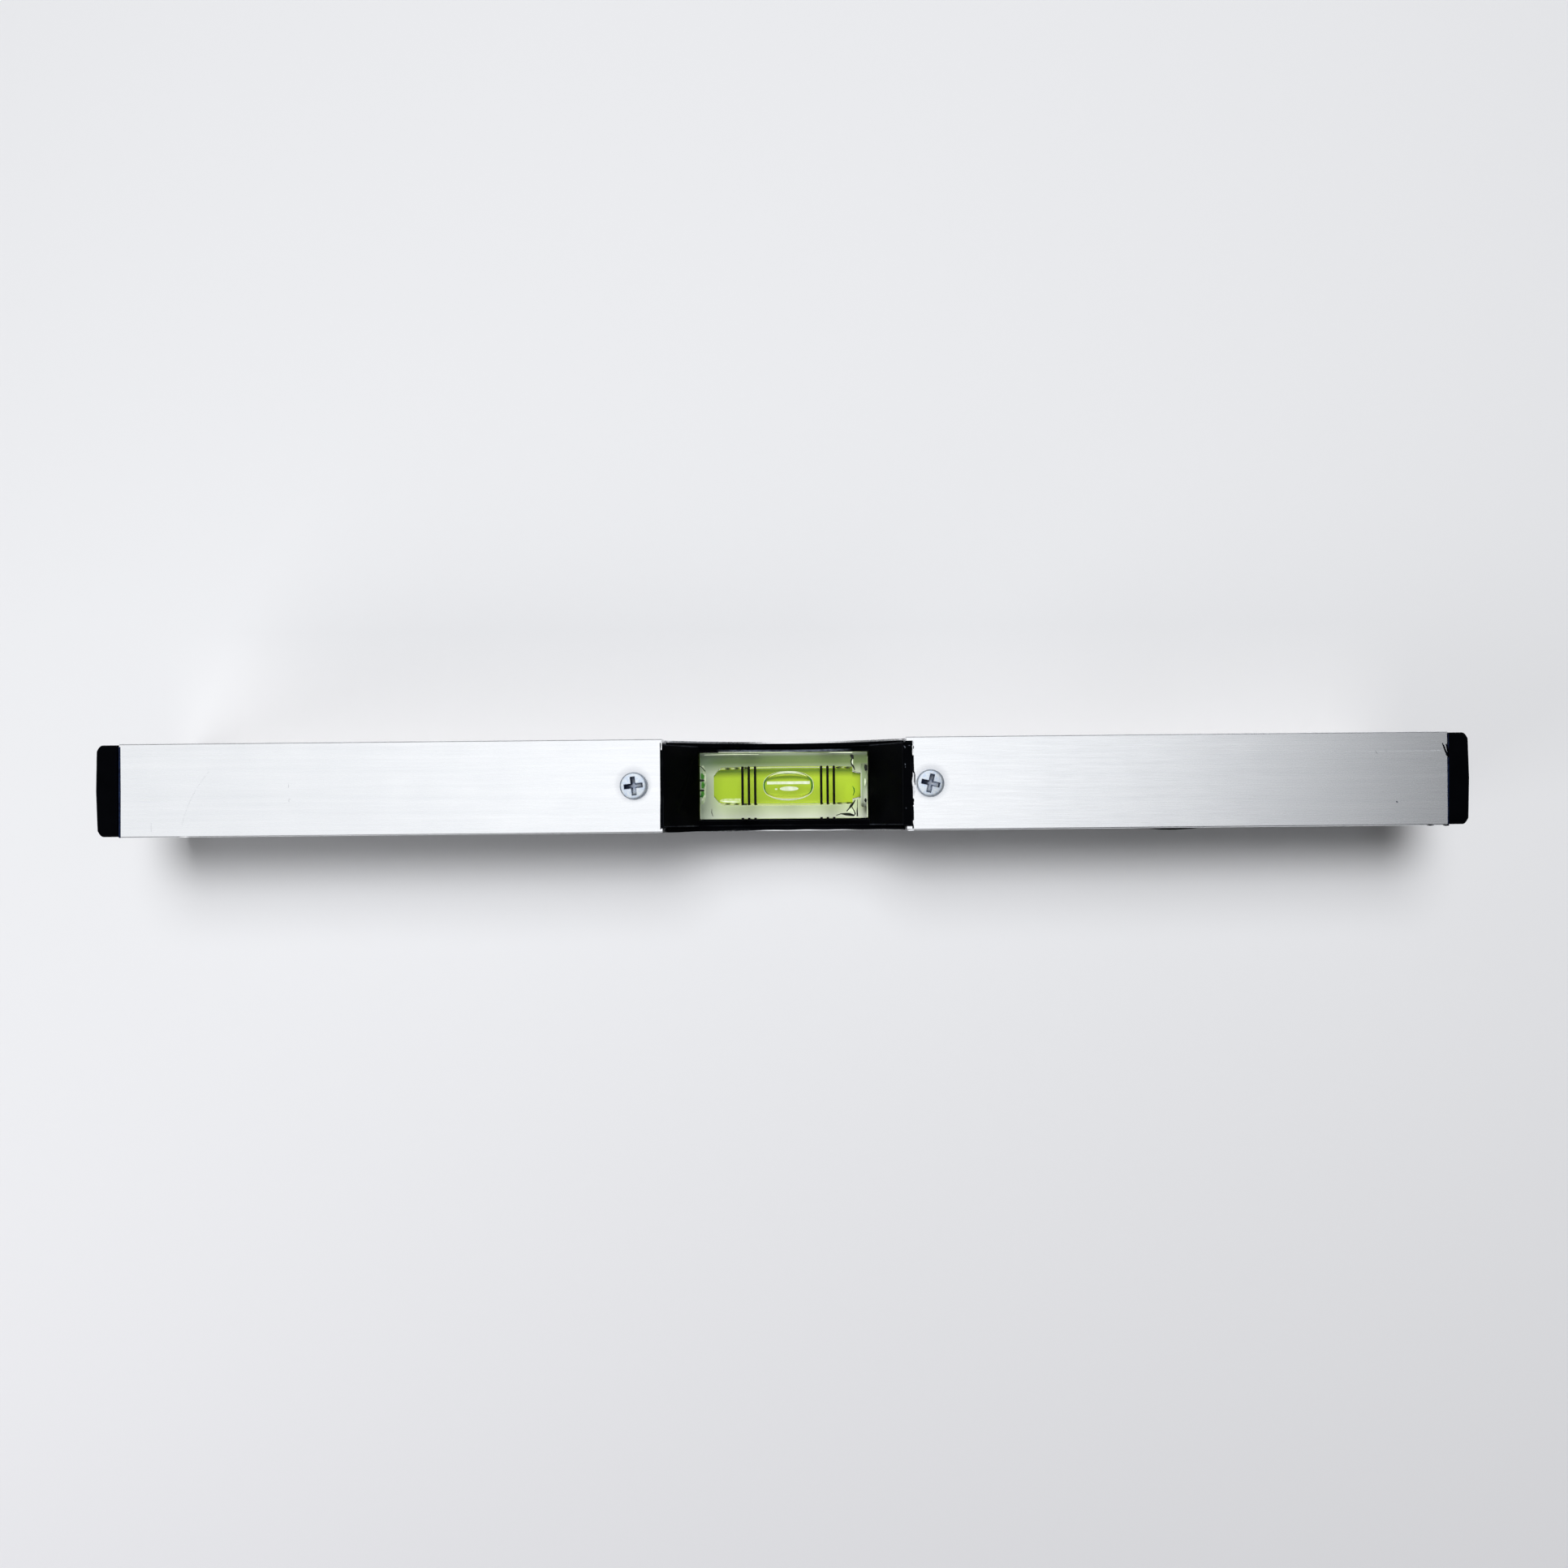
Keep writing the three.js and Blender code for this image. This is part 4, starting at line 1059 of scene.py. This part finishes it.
# A painted reflection: the spirit's end as the block's left end mirrors it
MIRRORED_END = {
    "mirrored_rim": ("rim", [
        (865.4, 944, 3), (867.6, 950, 4.6), (867.8, 968, 5), (867.4, 984, 4.6), (865.4, 991, 3),
    ]),
    "mirrored_back": ("green", [(864.6, 953, 1.6), (866, 956.5, 4.6), (865.8, 960, 3.6)]),
    "mirrored_middle": ("green", [(866, 963.5, 2.6), (866.6, 967.5, 4.6), (866, 971.5, 2.6)]),
    "mirrored_front": ("green", [(866, 974.5, 3.4), (866, 979, 4.4), (864.6, 982.5, 2)]),
    "mirrored_bar_back": ("crack", [(862.8, 961.7, 2.8), (866.4, 961.6, 3), (868, 961.4, 1.2)]),
    "mirrored_bar_front": ("crack", [(862.8, 974, 2.4), (866.6, 974, 2.6), (868, 973.6, 1)]),
    "mirrored_chamfer": ("crack", [(863.2, 944.2, 0.8), (866.5, 947.2, 1.1), (869, 950.6, 0.8)]),
}
FLAW_HEIGHT = VIAL_HEIGHT + 6.6 * MM
CRACK_THICKNESS = 0.01 * MM
CRACK_STEP = 0.02 * MM
MIRRORED_THICKNESS = 0.04 * MM
MIRRORED_STEP = 0.06 * MM


def add_flaws(flaws, first_height, step, thickness):
    """Strokes inside the block, each a step above the one before it, so that none lies in another."""
    for level, (name, (finish, path)) in enumerate(flaws.items()):
        height = first_height + step * level
        stroke(name, path, height, thickness, finish, in_block=True)


def add_side_lines():
    """The lines on the block's front, printed into shallow grooves. Their tops show as small bumps."""
    groove = 0.34 * MM
    proud = 0.03 * MM
    corner = 0.04 * MM
    for number in range(1, 7):
        node = f"front_line_{number}"
        low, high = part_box(node)
        high = Vector((high.x, block_low.y + groove, block_high.z + proud))
        name = f"front_mark_{number}"
        mark = new_piece(name, rounded_box(low, high, corner, 2), "level", "ink")
        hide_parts(node)


# Torn edges, burrs and scratches on the top face, in the same form
SURFACE_MARKS = {
    "torn_black_1": ("holder", [(1125.5, 918.8, 0.8), (1125.6, 920.5, 1.2), (1125.5, 922.6, 0.8)]),
    "torn_black_2": ("holder", [
        (1125, 930.6, 1.8), (1125.1, 940, 2), (1125.3, 949, 2.2), (1125.9, 952.5, 1.6),
    ]),
    "torn_black_3": ("holder", [
        (1126.5, 951, 1), (1127, 955, 1.7), (1127, 963, 1.6), (1127.6, 967.5, 0.6),
    ]),
    "torn_black_4": ("holder", [
        (1125.2, 983.5, 0.6), (1125.6, 985.5, 2), (1125.4, 989, 1), (1125.4, 992, 1.6),
    ]),
    "torn_black_5": ("holder", [(1125, 993.5, 1.6), (1125.1, 1000, 2), (1125.2, 1010.6, 2)]),
    "torn_black_6": ("holder", [(1125, 1015.8, 1.6), (1125.2, 1020.8, 2)]),
    "torn_end_1": ("flake", [
        (1125, 912.8, 1.4), (1125.4, 916, 1.2), (1124.6, 918.4, 1), (1124.3, 921, 1.1),
    ]),
    "torn_end_2": ("flake", [(1124.8, 923, 1.4), (1125.1, 926.5, 2), (1125, 930, 1.6)]),
    "torn_end_3": ("flake", [
        (1125.6, 952.5, 0.8), (1125.2, 957, 1.2), (1124.8, 962, 2), (1125.2, 969, 1.6),
    ]),
    "torn_end_4": ("flake", [(1126, 969, 1.2), (1126.4, 975, 2.6), (1126, 982.6, 1.6)]),
    "torn_end_5": ("flake", [(1125.4, 1010.9, 0.8), (1126, 1013, 2.2), (1126.2, 1016, 1)]),
    "torn_end_6": ("flake", [(1119, 1023.4, 0.6), (1122, 1022.8, 2), (1126, 1022.8, 2)]),
    "torn_corner_1": ("flake", [(814.6, 913, 1.4), (815, 918, 1), (814.6, 924, 1.6)]),
    "torn_corner_2": ("holder", [
        (814, 926, 0.8), (813.8, 960, 1), (814.2, 962, 0.6), (813.8, 1000, 0.9), (813.9, 1022, 1),
    ]),
    "burr_thin": ("cap", [
        (1777.2, 915.6, 1), (1779, 919.6, 2), (1781, 925, 2.2), (1783, 930, 2.4), (1785, 933, 1.4),
    ]),
    "burr_flap": ("cap", [(1781.8, 916.4, 1), (1783, 920, 2.2), (1784.2, 926, 2.6), (1785.6, 932, 1.8)]),
    "burr_sliver": ("cap", [(1758, 1016.8, 0.4), (1762, 1016.9, 1.4), (1767, 1016.7, 0.5)]),
    "burr_curl": ("cap", [(1778, 1016.6, 0.6), (1781, 1017, 1.6), (1785.7, 1016.6, 1.2)]),
    "seam_left": ("navy", [(147.2, 920.5, 2.2), (147.4, 975, 2.6), (147.5, 1032.5, 2.2)]),
    "seam_right": ("navy", [(1784.4, 903.5, 1.2), (1784.6, 960, 1.5), (1784.4, 1017, 1.2)]),
    "scratch_arc": ("faint_scratch", [
        (257.4, 950.7, 0.2), (250, 959.8, 0.3), (243.1, 969.5, 0.4), (236.9, 981, 0.4),
        (232, 991.6, 0.4), (227, 1004.6, 0.3), (224.3, 1016.4, 0.2),
    ]),
    "scratch_short": ("scratch", [(186.2, 1014, 0.2), (186, 1019, 0.35), (186.3, 1025, 0.2)]),
    "scratch_pair_back": ("scratch", [(355.4, 966, 0.3), (355.6, 969, 0.6), (355.4, 971, 0.2)]),
    "scratch_pair_front": ("scratch", [
        (358.8, 984.4, 0.3), (356.2, 984.6, 0.6), (355.6, 987, 0.7), (355.4, 989.4, 0.2),
    ]),
    "scratch_long": ("scratch", [(1600, 926.2, 0.1), (1700, 925.6, 0.2), (1776, 924.6, 0.3)]),
    "scratch_tick": ("rub", [(1694.6, 924.8, 0.2), (1696, 927, 0.4), (1697.2, 929, 0.2)]),
    "speck_right": ("rub", [(1720.4, 987.2, 1.1), (1721.4, 988, 1.8), (1722.4, 988.8, 1.1)]),
    "nick_front": ("flake", [(221, 1031.2, 0.5), (227, 1031.4, 1.3), (233, 1031.2, 0.5)]),
}
MARK_THICKNESS = 0.05 * MM
MARK_LIFT = 0.02 * MM
FLAKE_LIFT = 0.04 * MM


def add_surface_marks():
    for name, (finish, path) in SURFACE_MARKS.items():
        lift = FLAKE_LIFT if finish == "flake" else MARK_LIFT
        stroke(name, path, TOP + lift, MARK_THICKNESS, finish)


# Pale specks on the holder's right pad, their points in the same form
PAD_SPECKS = {
    "pad_speck_1": [(1113.4, 919, 0.5), (1114.6, 919.6, 1), (1115.4, 921.6, 0.9)],
    "pad_speck_2": [(1118.6, 918.6, 0.5), (1120.4, 918.4, 0.8), (1121.6, 918.6, 0.4)],
    "pad_speck_3": [(1115, 940.4, 0.6), (1115.4, 941.6, 1), (1115.6, 943, 0.5)],
    "pad_speck_4": [(1115.4, 944.4, 0.4), (1115.6, 945.6, 0.7)],
    "pad_speck_5": [(1116.2, 994.8, 0.9), (1116.5, 995.6, 1.2), (1116.5, 996.6, 0.8)],
}
PAD_DROP = 0.09 * MM
SPECK_THICKNESS = 0.02 * MM


def add_pad_specks():
    for name, path in PAD_SPECKS.items():
        stroke(name, path, TOP - PAD_DROP, SPECK_THICKNESS, "rub")


# Upright vial

def turned_upright(profile, sides, smooth_angle=40):
    """A solid turned about the middle of the upright vial."""
    centre = middle_of("plumb_vial")
    centre.z = 0
    return turned(profile, sides, "Z", centre, smooth_angle)


def upright(node):
    """The lowest and highest place of an upright node, and its radius."""
    low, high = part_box(node)
    return low.z, high.z, (high.x - low.x) / 2


def add_plumb_vial():
    """The upright vial: its tube, its spirit, its bubble, which is longer than it is wide, and its plug."""
    edge = 0.6 * MM
    low, high, radius = upright("plumb_vial")
    profile = [(0, low), (radius - edge, low), (radius, low + edge)]
    profile += [(radius, high - edge), (radius - edge, high), (0, high)]
    tube = new_piece("plumb_tube", turned_upright(profile, 64), "level", "acrylic")
    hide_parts("plumb_vial")

    low, high, radius = upright("plumb_liquid")
    radius += BORE_CLEARANCE
    profile = [(0, low), (radius, low), (radius, high - edge), (radius - edge, high), (0, high)]
    spirit = new_piece("plumb_spirit", turned_upright(profile, 64), "level", "spirit")
    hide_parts("plumb_liquid")

    low, high, radius = upright("plumb_bubble")
    steps = 24
    middle = (low + high) / 2
    profile = [(0, low)]
    for step in range(1, steps):
        angle = math.pi * step / steps
        profile.append((radius * math.sin(angle) ** 0.8, middle - (high - low) / 2 * math.cos(angle)))
    profile.append((0, high))
    air = new_piece("plumb_air", turned_upright(profile, 48, 60), "plumb_bubble", "air")
    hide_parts("plumb_bubble")

    low, high, radius = upright("plumb_plug")
    profile = [(0, low + edge), (radius, low + edge), (radius, high), (0, high)]
    mesh = turned_upright(profile, 48)
    stopper = new_piece("plumb_stopper", mesh, "level", "backing")
    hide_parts("plumb_plug")


# Screws

# The head, its rim and the shank under it, and the recess as depth, reach and width in millimetres
HEAD_HEIGHT = 1.8 * MM
HEAD_CHAMFER = 0.1 * MM
RIM_HEIGHT = 1.24 * MM
RIM_ROUNDING = 0.45 * MM
RIM_START_ANGLE = 10
RIM_SWEEP = 60
RIM_STEPS = 6
DOME_STEPS = 8
SHANK_RADIUS = 1.45 * MM
TIP_LENGTH = 1.4 * MM
RECESS_LEVELS = ((-0.3, 2.15, 1.06), (0.9, 1.75, 0.86), (1.45, 0.7, 0.6))
LEFT_SCREW_TURN = math.radians(6)
RIGHT_SCREW_TURN = math.radians(-13)


def screw_blank(low, high, centre):
    """The screw before its cross is cut: a pointed shank under a flat dome with a rounded rim."""
    radius = (high.x - low.x) / 2
    head_base = high.z - HEAD_HEIGHT
    shoulder = head_base + RIM_HEIGHT
    profile = [(0, low.z), (SHANK_RADIUS, low.z + TIP_LENGTH), (SHANK_RADIUS, head_base)]
    profile += [(radius - HEAD_CHAMFER, head_base), (radius, head_base + HEAD_CHAMFER), (radius, shoulder)]
    for step in range(1, RIM_STEPS + 1):
        angle = math.radians(RIM_START_ANGLE + RIM_SWEEP * step / RIM_STEPS)
        inward = RIM_ROUNDING * (1 - math.cos(angle))
        profile.append((radius - inward, shoulder + RIM_ROUNDING * math.sin(angle)))
    edge_radius, edge_height = profile[-1]
    for step in range(1, DOME_STEPS + 1):
        share = step / DOME_STEPS
        rise = (high.z - edge_height) * (1 - (1 - share) ** 2)
        profile.append((edge_radius * (1 - share), edge_height + rise))
    return turned(profile, 96, "Z", centre)


def cross_cutter(mouth, turn):
    """The tapered cross that is cut into a screw's head, around a point at the head's top."""
    shape = bmesh.new()
    levels = []
    for depth, reach, width in RECESS_LEVELS:
        half = width / 2
        ring = []
        for quarter in range(4):
            spin = Matrix.Rotation(turn + quarter * math.pi / 2, 3, "Z")
            for x, y in ((reach, -half), (reach, half), (half, half)):
                ring.append(shape.verts.new(mouth + spin @ Vector((x, y, -depth)) * MM))
        levels.append(ring)
    for lower, upper in zip(levels, levels[1:]):
        for index in range(len(lower)):
            after = (index + 1) % len(lower)
            shape.faces.new((lower[index], lower[after], upper[after], upper[index]))
    shape.faces.new(levels[0])
    shape.faces.new(levels[-1])
    return finish_mesh(shape, 30)


def helper_object(mesh):
    """An object that is there only while a shape is cut."""
    helper = bpy.data.objects.new("helper", mesh)
    bpy.context.scene.collection.objects.link(helper)
    return helper


def add_screw(side, turn):
    """A pan head screw with a tapered cross recess."""
    node = "holder_screw_" + side
    low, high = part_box(node)
    middle = middle_of(node)
    blank = helper_object(screw_blank(low, high, Vector((middle.x, middle.y, 0))))
    cutter = helper_object(cross_cutter(Vector((middle.x, middle.y, high.z)), turn))
    cut = blank.modifiers.new("recess", "BOOLEAN")
    cut.operation = "DIFFERENCE"
    cut.solver = "EXACT"
    cut.object = cutter
    bpy.context.view_layer.update()
    ready = bpy.data.meshes.new_from_object(blank.evaluated_get(bpy.context.evaluated_depsgraph_get()))
    ready.set_sharp_from_angle(angle=math.radians(35))
    bpy.data.objects.remove(cutter)
    bpy.data.objects.remove(blank)
    screw = new_piece("screw_" + side, ready, "level", "zinc")
    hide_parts(node)


# Studio

def add_floor():
    """The pale surface, which reaches far past the level on all sides."""
    half = 3.0
    shape = bmesh.new()
    bmesh.ops.create_grid(shape, x_segments=1, y_segments=1, size=half)
    mesh = bpy.data.meshes.new("floor")
    shape.to_mesh(mesh)
    shape.free()
    mesh.materials.append(pale_surface())
    floor = bpy.data.objects.new("floor", mesh)
    bpy.context.scene.collection.objects.link(floor)


def add_lamp(name, shape, width, depth, power, location):
    """A soft panel that points at the level. Metal mirrors the ceiling in its place."""
    data = bpy.data.lights.new(name, "AREA")
    data.shape = shape
    data.size = width
    data.size_y = depth
    data.energy = power
    lamp = bpy.data.objects.new(name, data)
    lamp.location = location
    lamp.rotation_euler = (Vector((0, 0, TOP)) - lamp.location).to_track_quat("-Z", "Y").to_euler()
    lamp.visible_glossy = False
    lamp.visible_camera = False
    lamp.visible_transmission = False
    bpy.context.scene.collection.objects.link(lamp)


# Each lamp: its shape, its width and depth in metres, its power in watts and its place in metres
LAMPS = {
    "soft_panel": ("ELLIPSE", 0.46, 0.64, 8.4, (-0.04, 0.33, 1.25)),
    "bright_middle": ("ELLIPSE", 0.30, 0.30, 5.4, (-0.04, 0.215, 1.25)),
    "weak_panel": ("RECTANGLE", 0.25, 0.25, 0.5, (-0.35, -0.2, 0.3)),
}


def add_lamps():
    """A wide panel overhead towards the back, brightest in its middle, and a weak one at the front left."""
    for name, values in LAMPS.items():
        add_lamp(name, *values)


def add_world():
    """A dim dome for light, a pale backdrop for sight, and a studio ceiling for what metal mirrors."""
    world = bpy.data.worlds.new("studio")
    world.use_nodes = True
    tree = world.node_tree
    tree.nodes.clear()
    parts = add_node(tree, "SeparateXYZ", {"Vector": add_node(tree, "TexCoord").outputs["Generated"]})
    rise = parts.outputs["Z"]
    steepness = combined(tree, "MAXIMUM", rise, 0.05)
    rightward = combined(tree, "DIVIDE", parts.outputs["X"], steepness)
    backward = combined(tree, "DIVIDE", parts.outputs["Y"], steepness)
    slant = ranged(tree, rightward, 0.22, 0.36, 0.7, 0.0)
    lean = combined(tree, "SUBTRACT", rightward, times(tree, backward, slant))
    # The ceiling: brightest overhead, a little dimmer to the left, dim to the right, and dark low down
    lean_left = combined(tree, "ADD", rightward, times(tree, backward, 0.6))
    fade = ranged(tree, lean, 0.11, 0.52, 1.275, 0.0, "SMOOTHSTEP")
    left_fade = ranged(tree, lean_left, -0.32, -0.08, 0.79, 1.0, "SMOOTHSTEP")
    right_fade = ranged(tree, rightward, 0.40, 0.47, 1.0, 0.5)
    ceiling = times(tree, times(tree, fade, left_fade), right_fade)
    high_share = ranged(tree, rise, 0.62, 0.80, 0, 1)
    low_share = ranged(tree, rise, 0.05, 0.25, 1, 0)
    wall = ranged(tree, low_share, 0, 1, 0.22, 0.55)
    mirrored = add_node(tree, "Mix", {0: high_share, 2: wall, 3: ceiling}, data_type="FLOAT").outputs[0]
    # What was scattered before sees only the dome, so that the block and the metal don't add light
    bluer = ranged(tree, rightward, 0.2, 0.4, 0, 1)
    tint = blended(tree, bluer, (0.97, 0.985, 1.0, 1), (0.93, 0.965, 1.02, 1))
    mirror = add_node(tree, "Background", {"Color": tint, "Strength": mirrored})
    dome = add_node(tree, "Background", {"Color": (1, 1, 1, 1), "Strength": 0.065})
    backdrop = add_node(tree, "Background", {"Color": BACKDROP, "Strength": 1.0})
    path = add_node(tree, "LightPath").outputs
    unscattered = combined(tree, "LESS_THAN", path["Diffuse Depth"], 0.5)
    glossy = times(tree, path["Is Glossy Ray"], unscattered)
    clear = times(tree, path["Is Transmission Ray"], unscattered)
    unseen = add_node(tree, "MixShader", {0: glossy, 1: dome.outputs[0], 2: mirror.outputs[0]})
    through = combined(tree, "MAXIMUM", path["Is Camera Ray"], clear)
    seen = add_node(tree, "MixShader", {0: through, 1: unseen.outputs[0], 2: backdrop.outputs[0]})
    output = add_node(tree, "OutputWorld")
    tree.links.new(seen.outputs[0], output.inputs["Surface"])
    bpy.context.scene.world = world


add_camera()
dress_cad_nodes()
add_ramp_highlights()
add_front_lip()
add_block()
add_spirit()
add_bubble()
add_bubble_glints()
add_stopper()
add_flaws(CRACKS, FLAW_HEIGHT, CRACK_STEP, CRACK_THICKNESS)
add_flaws(MIRRORED_END, FLAW_HEIGHT + MIRRORED_STEP, MIRRORED_STEP, MIRRORED_THICKNESS)
add_side_lines()
add_surface_marks()
add_pad_specks()
add_plumb_vial()
add_screw("left", LEFT_SCREW_TURN)
add_screw("right", RIGHT_SCREW_TURN)
add_floor()
add_lamps()
add_world()

scene = bpy.context.scene
scene.view_settings.view_transform = "Standard"
scene.cycles.use_denoising = True
